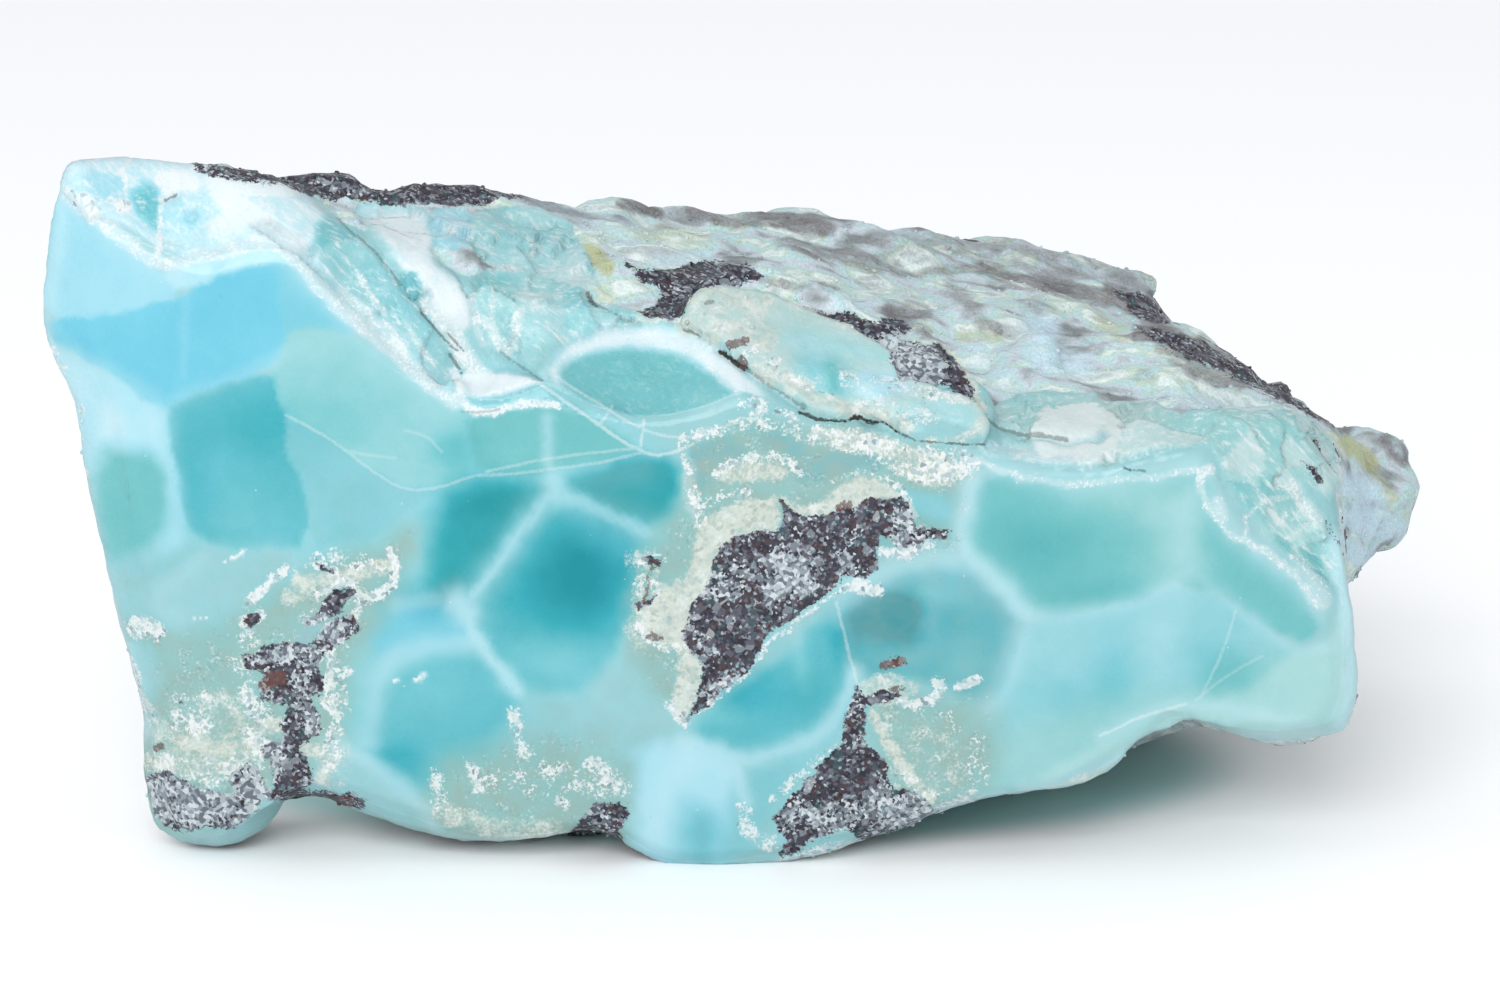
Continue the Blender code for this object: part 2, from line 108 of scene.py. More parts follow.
def rounded(line: Line, closed: bool, times: int = 2) -> Points:
    """Cuts the corners of a drawn line, so that a few points give a smooth curve.

    Args:
        line: its points.
        closed: whether it goes back to its first point.
        times: how often the corners are cut.

    Returns:
        The points of the rounder line.
    """
    p = np.array(line, dtype=float)
    for _ in range(times):
        nxt = np.roll(p, -1, axis=0) if closed else p[1:]
        here = p if closed else p[:-1]
        cut = np.stack([here * 0.75 + nxt * 0.25, here * 0.25 + nxt * 0.75], axis=1).reshape(-1, 2)
        p = cut if closed else np.vstack([p[:1], cut, p[-1:]])
    return p


def distance_to_line(spots: Points, line: Points, closed: bool = False, reach: float = 60.0) -> Points:
    """Gives each spot's distance to a line.

    Args:
        spots: places in the photograph, in pixels.
        line: the line's points.
        closed: whether the line is a ring.
        reach: the most that is told; spots further off get this.

    Returns:
        The distances in pixels.
    """
    ends = np.roll(line, -1, axis=0) if closed else line[1:]
    starts = line if closed else line[:-1]
    inside_box = (spots > line.min(axis=0) - reach) & (spots < line.max(axis=0) + reach)
    near = np.flatnonzero(inside_box.all(axis=1))
    x, y = spots[near].T
    best = np.full(len(near), reach**2)
    for (ax, ay), (bx, by) in zip(starts, ends):
        dx, dy = bx - ax, by - ay
        t = np.clip(((x - ax) * dx + (y - ay) * dy) / max(dx * dx + dy * dy, 1e-9), 0.0, 1.0)
        best = np.minimum(best, (x - ax - t * dx) ** 2 + (y - ay - t * dy) ** 2)
    away = np.full(len(spots), reach)
    away[near] = np.sqrt(best)
    return away


def depth_inside(spots: Points, ring: Points) -> Points:
    """Gives how far each spot lies inside a ring, negative outside.

    Args:
        spots: places in the photograph, in pixels.
        ring: the ring's points.

    Returns:
        The signed distances in pixels.
    """
    within = np.zeros(len(spots), dtype=bool)
    near = np.flatnonzero(((spots > ring.min(axis=0)) & (spots < ring.max(axis=0))).all(axis=1))
    x, y = spots[near].T
    for (ax, ay), (bx, by) in zip(ring, np.roll(ring, -1, axis=0)):
        if ay == by:
            continue
        crosses = (ay > y) != (by > y)
        within[near] ^= crosses & (x < ax + (y - ay) * (bx - ax) / (by - ay))
    return np.where(within, 1.0, -1.0) * distance_to_line(spots, ring, closed=True)


@dataclass(frozen=True)
class Sight:
    """The photograph's view of the stone, which places every marking and holds the camera.

    Attributes:
        target: what the middle of the picture looks at.
        distance: from the target to the lens.
        elevation: the camera's height above the horizon, in degrees.
        scale: millimetres that one photograph pixel spans at the target.
        sensor: the sensor's width.
        clip: the nearest and the furthest that the camera shows, in metres.
    """

    target: tuple[float, float, float] = (-1.54, -33.2, 33.44)
    distance: float = 464.0
    elevation: float = 14.0
    scale: float = 0.0855
    sensor: float = 36.0
    clip: tuple[float, float] = (0.01, 20.0)

    @property
    def slope(self) -> tuple[float, float]:
        """The elevation's sine and cosine."""
        angle = math.radians(self.elevation)
        return math.sin(angle), math.cos(angle)

    @property
    def eye(self) -> Points:
        """Where the lens stands."""
        sine, cosine = self.slope
        return np.array(self.target) + self.distance * np.array([0.0, -cosine, sine])

    @property
    def lens(self) -> float:
        """The focal length that frames the photograph."""
        return self.sensor * self.distance / (PHOTO_WIDTH * self.scale)

    def project(self, places: Points) -> Points:
        """Finds where places show in the photograph.

        Args:
            places: points in the stone's frame.

        Returns:
            Their pixels, one pair each.
        """
        sine, cosine = self.slope
        seen = places - self.eye
        ahead = seen @ np.array([0.0, cosine, -sine])
        up = seen @ np.array([0.0, sine, cosine])
        grow = self.distance / (self.scale * ahead)
        return np.stack([PHOTO_WIDTH / 2 + seen[:, 0] * grow, PHOTO_HEIGHT / 2 - up * grow], axis=1)

    def place_camera(self) -> bpy.types.Object:
        """Makes the scene's camera.

        Returns:
            The camera's object.
        """
        data = bpy.data.cameras.new("camera")
        data.lens = self.lens
        data.sensor_width = self.sensor
        data.sensor_fit = "HORIZONTAL"
        data.clip_start, data.clip_end = self.clip
        camera = bpy.data.objects.new("camera", data)
        camera.location = Vector(self.eye * MM)
        camera.rotation_euler = (math.radians(90 - self.elevation), 0.0, 0.0)
        bpy.context.scene.collection.objects.link(camera)
        bpy.context.scene.camera = camera
        return camera


SIGHT = Sight()


class Tone(Enum):
    """What a clouded cell is made of: how deep its blue is, how green, and how hazy with grey-green."""

    MILK = (0.04, 0.20, 0.00)
    PALE_SKY = (0.20, 0.00, 0.00)
    SKY = (0.34, 0.00, 0.00)
    DEEP_SKY = (0.55, 0.00, 0.00)
    CYAN = (0.50, 0.30, 0.05)
    SEA = (0.40, 0.55, 0.05)
    PALE_GREEN = (0.38, 0.75, 0.00)
    FAINT_GREEN = (0.24, 0.65, 0.00)
    TEAL = (0.62, 0.60, 0.00)
    LEAF_TEAL = (0.52, 0.90, 0.05)
    DARK_TEAL = (0.84, 0.75, 0.00)
    GREY_TEAL = (0.45, 0.50, 0.18)
    STORM = (0.70, 0.55, 0.30)
    STREAK = (0.44, 0.55, 0.25)
    MIST = (0.36, 0.50, 0.35)
    FOG = (0.42, 0.85, 0.74)
    POOL = (0.66, 0.50, 0.84)
    SLATE = (0.42, 0.10, 0.75)
    CELADON = (0.14, 0.95, 0.34)
    LEDGE = (0.20, 0.80, 0.14)
    LENS = (0.56, 0.74, 0.14)
    VEIL = (0.56, 0.60, 0.72)
    PALE_LEAF = (0.24, 0.95, 0.05)
    SEA_GLASS = (0.34, 0.85, 0.06)
    PEARL = (0.10, 0.35, 0.20)


@dataclass(frozen=True)
class Cell:
    """One clouded cell of the polished face, or one facet of a chip.

    Attributes:
        tone: its colour.
        outline: its corners, in photograph pixels.
        soft: pixels over which its edge fades.
    """

    tone: Tone
    outline: Line
    soft: float = 6.0


@dataclass(frozen=True)
class Heart:
    """A spot where a cell is deeper, or paler, than the rest of it.

    Attributes:
        at: its middle, in photograph pixels.
        reach: its two half widths in pixels.
        deeper: how much the blue deepens, negative for paler.
    """

    at: tuple[float, float]
    reach: tuple[float, float]
    deeper: float


@dataclass(frozen=True)
class Stroke:
    """A line of something on the stone: a wall between cells, a crack, a bruised rim or a run of crumbs.

    Attributes:
        line: its points, in photograph pixels.
        half_width: pixels from its middle to where it has faded.
        strength: how strong it is, up to 1.
        fade: where a cover starts and is whole, in half widths from the middle.
        glow_end: where a glow ends, in half widths from the middle.
    """

    line: Line
    half_width: float = 7.0
    strength: float = 0.6
    fade: Edge = (1.5, 0.4)
    glow_end: float = 2.9

    def away(self, spots: Points) -> Points:
        """Gives each spot's distance from the line, in half widths."""
        reach = self.half_width * 3
        return distance_to_line(spots, rounded(self.line, False, 1), reach=reach) / self.half_width

    def cover(self, spots: Points) -> Points:
        """Gives how strongly each spot is covered."""
        return self.strength * smoothstep(*self.fade, self.away(spots))

    def glow(self, spots: Points) -> Points:
        """Gives how strongly each spot is lit up, fading slowly from the middle."""
        away = self.away(spots)
        return self.strength * np.exp(-(away**2)) * (away < self.glow_end)


@dataclass(frozen=True)
class Area:
    """A closed area of one cover on the stone.

    Attributes:
        outline: its corners, in photograph pixels.
        strength: how strong the cover is, up to 1.
        soft: pixels over which its edge fades.
    """

    outline: Line
    strength: float = 1.0
    soft: float = 6.0

    def cover(self, spots: Points) -> Points:
        """Gives how strongly each spot is covered."""
        inside = depth_inside(spots, rounded(self.outline, True, 1))
        return self.strength * smoothstep(-self.soft, self.soft, inside)


CELLS: tuple[Cell, ...] = (
    # Left end, from the corner down.
    Cell(Tone.SEA, ((60, 400), (260, 380), (380, 330), (620, 400), (700, 520), (620, 760), (420, 800),
        (100, 640)), 30),
    Cell(Tone.SKY, ((30, 150), (75, 205), (100, 222), (160, 268), (184, 292), (140, 306), (30, 324)), 3),
    Cell(Tone.PALE_SKY, ((155, 266), (265, 236), (300, 262), (262, 266), (184, 294)), 4),
    Cell(Tone.CYAN, ((270, 250), (330, 292), (360, 334), (300, 332), (280, 360), (276, 300)), 8),
    Cell(Tone.PALE_SKY, ((30, 330), (120, 372), (162, 402), (175, 470), (182, 540), (160, 560), (130, 470),
        (88, 470)), 14),
    Cell(Tone.DEEP_SKY, ((36, 321), (140, 305), (184, 293), (262, 262), (282, 266), (284, 340), (272, 360),
        (180, 400), (160, 404), (118, 374), (52, 340)), 3),
    Cell(Tone.LEAF_TEAL, ((92, 450), (160, 450), (172, 500), (174, 530), (130, 575), (96, 560)), 14),
    Cell(Tone.TEAL, ((164, 404), (182, 398), (274, 360), (284, 416), (300, 480), (317, 545), (250, 552),
        (196, 545), (182, 500), (176, 450)), 4),
    Cell(Tone.GREY_TEAL, ((283, 412), (345, 448), (405, 490), (440, 492), (400, 520), (330, 548),
        (317, 545), (300, 480)), 4),
    Cell(Tone.PALE_GREEN, ((270, 362), (284, 336), (330, 328), (372, 344), (455, 405), (480, 448),
        (474, 474), (440, 488), (405, 492), (384, 478), (345, 450), (286, 414)), 3),
    # Middle, round the bright wall that forks.
    Cell(Tone.LEAF_TEAL, ((462, 414), (560, 406), (650, 452), (600, 464), (545, 470), (484, 476),
        (474, 446)), 5),
    Cell(Tone.DARK_TEAL, ((442, 492), (480, 478), (550, 474), (552, 488), (500, 545), (462, 604),
        (436, 590), (430, 560), (434, 520)), 20),
    Cell(Tone.DARK_TEAL, ((552, 482), (600, 466), (660, 452), (684, 476), (660, 525), (640, 532)), 10),
    Cell(Tone.TEAL, ((552, 492), (640, 532), (650, 570), (628, 640), (596, 690), (536, 694), (512, 682),
        (478, 640), (468, 606)), 10),
    Cell(Tone.CYAN, ((392, 604), (460, 608), (474, 640), (400, 652), (374, 660), (370, 620)), 8),
    Cell(Tone.TEAL, ((374, 690), (398, 658), (472, 644), (512, 688), (520, 730), (480, 770), (430, 800),
        (384, 770), (366, 730)), 16),
    Cell(Tone.MIST, ((520, 700), (600, 690), (650, 620), (684, 720), (650, 790), (560, 810),
        (500, 770)), 22),
    Cell(Tone.FOG, ((420, 770), (520, 740), (610, 745), (645, 800), (640, 880), (420, 880)), 26),
    Cell(Tone.FOG, ((100, 600), (200, 640), (250, 600), (340, 560), (420, 520), (410, 570), (340, 680),
        (350, 760), (100, 860)), 20),
    Cell(Tone.MIST, ((98, 560), (200, 548), (320, 552), (250, 600), (190, 640), (110, 620)), 16),
    Cell(Tone.PALE_SKY, ((640, 745), (700, 742), (735, 760), (748, 800), (720, 900), (640, 900),
        (630, 800)), 16),
    Cell(Tone.GREY_TEAL, ((680, 806), (718, 806), (728, 880), (668, 880)), 24),
    Cell(Tone.GREY_TEAL, ((740, 770), (800, 748), (840, 740), (780, 810), (740, 860), (716, 860)), 14),
    # Under the matrix patch and round the disc to its right.
    Cell(Tone.TEAL, ((690, 726), (735, 690), (790, 648), (842, 612), (852, 690), (832, 736), (782, 756),
        (735, 760), (700, 744)), 12),
    Cell(Tone.STORM, ((840, 596), (878, 574), (950, 562), (1000, 588), (1020, 622), (1010, 680), (984, 716),
        (950, 684), (900, 672), (860, 684)), 10),
    Cell(Tone.VEIL, ((700, 440), (800, 420), (960, 470), (968, 556), (900, 560), (870, 560),
        (690, 500)), 16),
    # Right end.
    Cell(Tone.LEAF_TEAL, ((972, 470), (1080, 480), (1200, 462), (1240, 545), (1330, 615), (1290, 650),
        (1190, 572), (1120, 606), (1026, 616), (1000, 580), (962, 556)), 5),
    Cell(Tone.SEA, ((1024, 618), (1120, 608), (1190, 574), (1290, 652), (1320, 648), (1296, 700),
        (1200, 712), (1100, 740), (1000, 800), (960, 780), (988, 700), (1010, 664)), 5),
    Cell(Tone.SEA_GLASS, ((990, 730), (1100, 706), (1180, 690), (1236, 640), (1300, 656), (1300, 700),
        (1200, 720), (1100, 760), (1000, 815), (950, 815)), 26),
    Cell(Tone.PALE_LEAF, ((1240, 700), (1286, 656), (1320, 646), (1370, 560), (1370, 760), (1190, 730),
        (1100, 760), (1000, 810), (990, 800), (1100, 745), (1180, 706)), 8),
    Cell(Tone.FOG, ((866, 700), (940, 706), (990, 700), (1000, 760), (980, 800), (900, 830),
        (880, 780)), 22),
    # The hazy ground round the matrix, with clearer blue grey pools in it.
    Cell(Tone.FOG, ((630, 560), (700, 480), (690, 440), (800, 424), (960, 450), (975, 480), (920, 500),
        (800, 500), (700, 560), (690, 700), (640, 700)), 18),
    Cell(Tone.POOL, ((688, 470), (692, 452), (725, 434), (752, 446), (756, 458), (720, 466), (700, 496),
        (690, 490)), 6),
    Cell(Tone.POOL, ((762, 440), (780, 430), (800, 440), (812, 450), (880, 456), (884, 470), (850, 472),
        (820, 484), (798, 480), (790, 464), (764, 450)), 6),
    Cell(Tone.GREY_TEAL, ((886, 492), (930, 494), (952, 500), (946, 528), (920, 520), (904, 506)), 8),
    Cell(Tone.SLATE, ((286, 634), (300, 624), (330, 620), (352, 616), (340, 636), (300, 644)), 5),
    Cell(Tone.MIST, ((100, 640), (150, 640), (160, 700), (130, 700)), 12),
)

HEARTS: tuple[Heart, ...] = (
    Heart((578, 575), (62, 52), 0.42),
    Heart((475, 500), (44, 26), 0.10),
    Heart((640, 470), (50, 20), 0.06),
    Heart((262, 420), (60, 45), 0.12),
    Heart((190, 490), (20, 50), 0.10),
    Heart((458, 452), (26, 22), 0.22),
    Heart((310, 350), (60, 26), -0.03),
    Heart((750, 690), (50, 34), 0.16),
    Heart((886, 612), (34, 26), 0.66),
    Heart((978, 622), (34, 40), -0.06),
    Heart((845, 640), (16, 30), 0.22),
    Heart((930, 590), (60, 14), -0.16),
    Heart((1030, 540), (54, 50), 0.12),
    Heart((1130, 500), (90, 22), -0.16),
    Heart((1175, 545), (34, 60), -0.14),
    Heart((1100, 590), (60, 16), 0.08),
    Heart((1112, 670), (18, 40), 0.10),
    Heart((1228, 672), (36, 26), 0.22),
    Heart((1060, 640), (50, 24), -0.06),
    Heart((420, 690), (50, 30), -0.08),
    Heart((400, 760), (24, 20), 0.16),
    Heart((700, 830), (22, 40), 0.12),
    Heart((928, 612), (14, 34), -0.16),
    Heart((962, 664), (20, 20), -0.14),
    Heart((900, 652), (24, 10), -0.12),
    Heart((800, 656), (9, 26), -0.16),
    Heart((722, 716), (30, 12), -0.14),
    Heart((1160, 640), (24, 40), -0.07),
    Heart((1076, 700), (40, 24), 0.06),
    Heart((240, 520), (30, 20), -0.07),
    Heart((350, 420), (40, 24), 0.06),
    Heart((110, 430), (12, 30), -0.08),
    Heart((150, 560), (30, 20), 0.10),
    Heart((100, 285), (50, 30), -0.04),
    Heart((430, 600), (34, 14), 0.20),
    Heart((560, 660), (54, 24), -0.16),
    Heart((1280, 530), (26, 26), -0.16),
    Heart((200, 838), (60, 12), -0.12),
    Heart((950, 625), (60, 30), 0.08),
    Heart((880, 700), (60, 20), 0.08),
    Heart((540, 740), (60, 30), 0.06),
    Heart((540, 290), (34, 20), -0.20),
    Heart((440, 330), (20, 20), -0.08),
    Heart((430, 600), (40, 20), 0.18),
    Heart((700, 398), (24, 14), -0.10),
)

WALLS: tuple[Stroke, ...] = (
    Stroke(((552, 480), (552, 492)), 13, 0.6),
    Stroke(((458, 602), (466, 612)), 16, 0.7),
    Stroke(((552, 488), (640, 470)), 18, 0.12),
    Stroke(((552, 488), (522, 528), (492, 570), (464, 606)), 7, 0.55),
    Stroke(((552, 488), (522, 528), (492, 570), (464, 606)), 16, 0.25),
    Stroke(((464, 606), (432, 598), (398, 606)), 9, 0.35),
    Stroke(((464, 606), (474, 640), (494, 664), (518, 690)), 7, 0.66),
    Stroke(((474, 640), (430, 645), (396, 656), (376, 690), (370, 740)), 11, 0.40),
    Stroke(((552, 488), (547, 455), (546, 418)), 6, 0.42),
    Stroke(((552, 488), (592, 506), (644, 534)), 8, 0.42),
    Stroke(((552, 488), (592, 506), (644, 534)), 22, 0.16),
    Stroke(((972, 476), (962, 520), (964, 554), (1000, 580), (1022, 616)), 12, 0.62),
    Stroke(((964, 556), (920, 560), (880, 574), (848, 592)), 16, 0.45),
    Stroke(((1022, 616), (1070, 613), (1120, 608), (1160, 588), (1190, 568)), 10, 0.36),
    Stroke(((1190, 568), (1230, 600), (1290, 650), (1320, 646), (1354, 648)), 7, 0.26),
    Stroke(((1190, 568), (1182, 540), (1196, 490)), 16, 0.28),
    Stroke(((1022, 616), (1014, 660), (990, 704)), 14, 0.35),
    Stroke(((682, 742), (702, 744), (736, 761), (782, 750), (822, 734), (845, 700), (852, 676)), 9, 0.60),
    Stroke(((736, 761), (746, 800)), 8, 0.55),
    Stroke(((690, 745), (668, 790), (655, 835)), 14, 0.35),
    Stroke(((162, 404), (172, 470), (186, 540), (150, 556)), 10, 0.22),
    Stroke(((184, 292), (183, 372)), 4, 0.14),
    Stroke(((163, 403), (220, 384), (276, 356)), 8, 0.22),
    Stroke(((56, 344), (118, 374), (163, 404)), 9, 0.26),
    Stroke(((200, 560), (150, 600), (180, 620)), 10, 0.18),
    Stroke(((330, 740), (380, 770), (420, 800), (440, 840)), 9, 0.40),
    Stroke(((1100, 738), (1140, 716), (1186, 700), (1250, 712), (1310, 730)), 7, 0.36),
    # The milky light along the bruised rims.
    Stroke(((70, 200), (100, 218), (130, 244), (160, 262), (200, 254), (262, 238), (292, 250), (320, 286),
        (360, 322), (400, 354), (452, 396)), 15, 0.55),
    Stroke(((970, 458), (1045, 480), (1100, 482), (1194, 468)), 12, 0.45),
    Stroke(((1197, 470), (1203, 495), (1240, 540), (1302, 590), (1322, 608)), 12, 0.35),
    # The pale edge of the face, all round.
    Stroke(((66, 176), (60, 220), (48, 300), (42, 330), (66, 372), (80, 430), (92, 540), (118, 640),
        (146, 730)), 10, 0.55),
    Stroke(((300, 800), (380, 824), (440, 842), (560, 842), (640, 866), (700, 871), (780, 864),
        (860, 846)), 6, 0.5),
    Stroke(((860, 846), (930, 812), (1000, 796), (1080, 780), (1130, 752), (1185, 724), (1250, 738),
        (1345, 738)), 7, 0.5),
    Stroke(((1335, 540), (1351, 620), (1354, 690), (1340, 732)), 9, 0.75),
)

CRACKS: tuple[Stroke, ...] = (
    Stroke(((285, 415), (312, 428), (345, 450), (384, 480), (410, 491), (440, 488), (470, 476), (500, 475),
        (545, 470), (600, 463), (644, 452)), 1.0, 0.26),
    Stroke(((345, 450), (372, 456), (396, 458)), 1.0, 0.18),
    Stroke(((405, 430), (428, 436), (442, 452)), 1.0, 0.18),
    Stroke(((486, 472), (520, 464), (562, 456), (640, 448)), 1.0, 0.26),
    Stroke(((540, 384), (572, 406), (600, 426), (640, 452), (664, 456), (694, 444)), 1.3, 0.45),
    Stroke(((556, 376), (592, 400), (632, 424), (660, 436), (700, 438), (744, 418)), 1.0, 0.34),
    Stroke(((600, 424), (612, 406)), 1.0, 0.3),
    Stroke(((640, 450), (644, 420)), 1.0, 0.4),
    Stroke(((836, 602), (848, 650), (858, 686)), 1.1, 0.3),
    Stroke(((1236, 610), (1224, 650), (1200, 698)), 1.0, 0.22),
    Stroke(((1262, 656), (1226, 676), (1196, 700)), 1.0, 0.18),
    Stroke(((1100, 736), (1142, 716), (1186, 704)), 1.2, 0.4),
)

FACE_ROCKS: tuple[Line, ...] = (
    # The polished patch in the middle of the face.
    ((777, 496), (786, 503), (800, 514), (818, 518), (836, 511), (843, 505), (857, 508), (868, 498),
        (886, 497), (903, 500), (914, 514), (916, 528), (935, 530), (952, 530), (944, 537), (908, 545),
        (896, 547), (880, 536), (876, 552), (878, 570), (866, 577), (842, 575), (834, 588), (818, 602),
        (800, 613), (784, 626), (766, 635), (760, 652), (750, 670), (734, 682), (716, 697), (706, 709),
        (687, 717), (696, 700), (702, 684), (703, 664), (692, 654), (684, 640), (685, 624), (692, 604),
        (703, 592), (713, 578), (712, 560), (720, 548), (736, 535), (760, 530), (777, 532), (783, 519),
        (781, 506)),
    # The lower patch.
    ((855, 686), (868, 700), (864, 740), (884, 760), (894, 790), (880, 806), (888, 836), (870, 842),
        (850, 830), (820, 836), (790, 856), (778, 858), (784, 838), (772, 818), (800, 788), (825, 760),
        (842, 745), (846, 715)),
    # The streak down the left, in bits.
    ((322, 604), (334, 590), (348, 587), (356, 592), (346, 600), (344, 612), (324, 620), (304, 630),
        (300, 622), (318, 614)),
    ((240, 655), (262, 648), (290, 642), (322, 646), (326, 660), (318, 664), (322, 676), (322, 690),
        (310, 698), (320, 716), (322, 738), (306, 742), (300, 750), (312, 766), (310, 784), (300, 794),
        (276, 794), (270, 770), (262, 748), (284, 738), (280, 722), (288, 706), (262, 700), (256, 688),
        (266, 676), (248, 668)),
    ((328, 622), (352, 614), (360, 628), (344, 642), (326, 652), (312, 646)),
    ((228, 782), (250, 760), (262, 774), (262, 792), (250, 800), (236, 794)),
    ((262, 790), (300, 786), (330, 792), (352, 800), (344, 808), (300, 800), (268, 802)),
    ((146, 776), (170, 772), (190, 784), (170, 800), (152, 806)),
    ((316, 562), (326, 566), (334, 572), (320, 572)),
    ((243, 620), (252, 612), (262, 616), (250, 626)),
    # The foot, the small bit at the bottom and specks.
    ((152, 800), (166, 784), (188, 782), (210, 792), (232, 792), (250, 784), (266, 792), (262, 806),
        (246, 820), (226, 830), (206, 826), (186, 832), (164, 826), (154, 814)),
    ((884, 800), (904, 786), (922, 798), (940, 812), (916, 832), (890, 840), (880, 820)),
    ((560, 840), (584, 818), (590, 804), (620, 800), (628, 812), (620, 830), (628, 850)),
    ((642, 559), (650, 555), (660, 561), (663, 568), (654, 566)),
    ((636, 604), (646, 600), (655, 596), (650, 604), (640, 608)),
    ((178, 700), (184, 699), (185, 705), (179, 705)),
    ((864, 698), (880, 690), (904, 694), (884, 704), (866, 706)),
    ((884, 662), (900, 658), (908, 664), (894, 668)),
    ((336, 798), (350, 792), (364, 800), (362, 810), (344, 804)),
)

TOP_ROCKS: tuple[Line, ...] = (
    ((192, 170), (250, 168), (300, 170), (380, 172), (470, 176), (534, 188), (520, 198), (480, 205),
        (440, 206), (400, 202), (330, 197), (280, 190), (240, 184), (200, 177)),
    ((624, 262), (645, 270), (668, 272), (690, 264), (716, 261), (746, 262), (764, 278), (742, 286),
        (716, 286), (700, 291), (690, 303), (687, 316), (670, 320), (654, 317), (638, 312), (654, 305),
        (664, 296), (660, 288), (640, 279)),
    ((804, 306), (830, 313), (850, 311), (868, 321), (885, 329), (892, 343), (897, 357), (888, 353),
        (878, 343), (862, 333), (846, 325), (826, 319)),
    ((884, 316), (902, 318), (912, 330), (904, 338), (890, 336), (878, 326)),
    ((884, 345), (905, 340), (935, 345), (945, 366), (938, 388), (916, 388), (900, 382), (886, 366)),
    ((938, 343), (952, 358), (963, 371), (973, 389), (975, 405), (960, 399), (946, 388), (935, 379),
        (943, 366), (934, 352)),
    ((1136, 330), (1168, 330), (1206, 344), (1250, 366), (1290, 388), (1342, 426), (1310, 418), (1270, 396),
        (1204, 366), (1160, 346)),
    ((1303, 460), (1316, 466), (1326, 482), (1318, 484), (1308, 472)),
    ((1322, 516), (1330, 524), (1338, 546), (1326, 532)),
    ((1110, 290), (1150, 296), (1167, 306), (1168, 324), (1136, 316)),
)

CREAMS: tuple[Union[Area, Stroke], ...] = (
    Area(((776, 490), (768, 499), (745, 497), (722, 508), (700, 522), (690, 548), (688, 574), (672, 580),
        (655, 592), (640, 610), (640, 632), (652, 646), (676, 646), (680, 664), (674, 690), (672, 714),
        (684, 722), (700, 700), (704, 664), (690, 640), (698, 606), (716, 580), (718, 552), (744, 536),
        (774, 536), (784, 518)), 1.0),
    Area(((776, 492), (800, 506), (820, 505), (834, 488), (852, 476), (880, 478), (902, 494), (918, 512),
        (916, 524), (890, 506), (845, 514), (820, 524), (790, 518)), 1.0),
    Area(((716, 476), (724, 462), (746, 458), (780, 460), (796, 470), (780, 480), (750, 482),
        (724, 484)), 0.85),
    Area(((800, 424), (850, 428), (905, 440), (950, 455), (962, 470), (950, 488), (925, 488), (900, 475),
        (880, 458), (850, 456), (822, 446)), 0.75),
    Area(((858, 686), (878, 672), (905, 674), (930, 690), (900, 706), (875, 714), (862, 704)), 0.7),
    Area(((862, 720), (880, 730), (900, 756), (924, 790), (944, 800), (968, 786), (980, 756), (960, 730),
        (930, 712), (900, 706)), 0.34, 12),
    Stroke(((640, 560), (650, 590), (640, 640)), 16, 0.5),
    Area(((150, 700), (240, 690), (262, 720), (256, 780), (200, 790), (140, 780)), 0.50, 18),
    Area(((330, 700), (352, 740), (350, 790), (316, 796)), 0.42, 10),
    Stroke(((300, 582), (340, 578), (392, 566)), 9, 0.8),
    Stroke(((290, 596), (320, 586)), 8, 0.6),
    Stroke(((180, 742), (220, 750), (250, 742)), 9, 0.9),
    Stroke(((150, 760), (190, 768), (236, 764), (262, 746)), 9, 0.7),
    Stroke(((170, 770), (210, 768)), 8, 0.7),
    Stroke(((256, 726), (278, 722)), 8, 0.8),
    Stroke(((300, 746), (330, 756), (326, 778)), 10, 0.7),
    Stroke(((210, 700), (240, 694)), 12, 0.5),
    Stroke(((440, 812), (500, 832), (560, 834)), 12, 0.6),
    Stroke(((325, 700), (345, 697)), 5, 0.7),
    Stroke(((872, 716), (888, 742), (908, 776), (930, 798)), 6, 0.85),
    Stroke(((900, 838), (940, 816), (1000, 800), (1080, 784), (1130, 758), (1180, 728)), 4, 0.62),
    Stroke(((935, 345), (956, 362), (972, 390), (980, 410)), 6, 0.9),
    Stroke(((690, 300), (720, 296), (760, 308)), 12, 0.7),
    Area(((690, 322), (700, 300), (722, 296), (754, 304), (772, 318), (764, 340), (742, 352),
        (716, 338)), 0.55, 9),
    Area(((776, 378), (812, 392), (850, 404), (846, 414), (812, 408), (780, 392)), 0.6, 5),
    Stroke(((684, 328), (700, 330), (715, 340)), 9, 0.8),
    Stroke(((720, 330), (744, 340), (762, 350), (770, 340)), 10, 0.7),
    Stroke(((760, 372), (790, 382), (806, 388)), 9, 0.8),
    Stroke(((840, 412), (880, 414), (908, 424)), 8, 0.7),
    Stroke(((780, 300), (840, 326), (872, 340)), 6, 0.6),
    Stroke(((930, 440), (970, 438), (984, 420)), 5, 0.6),
)

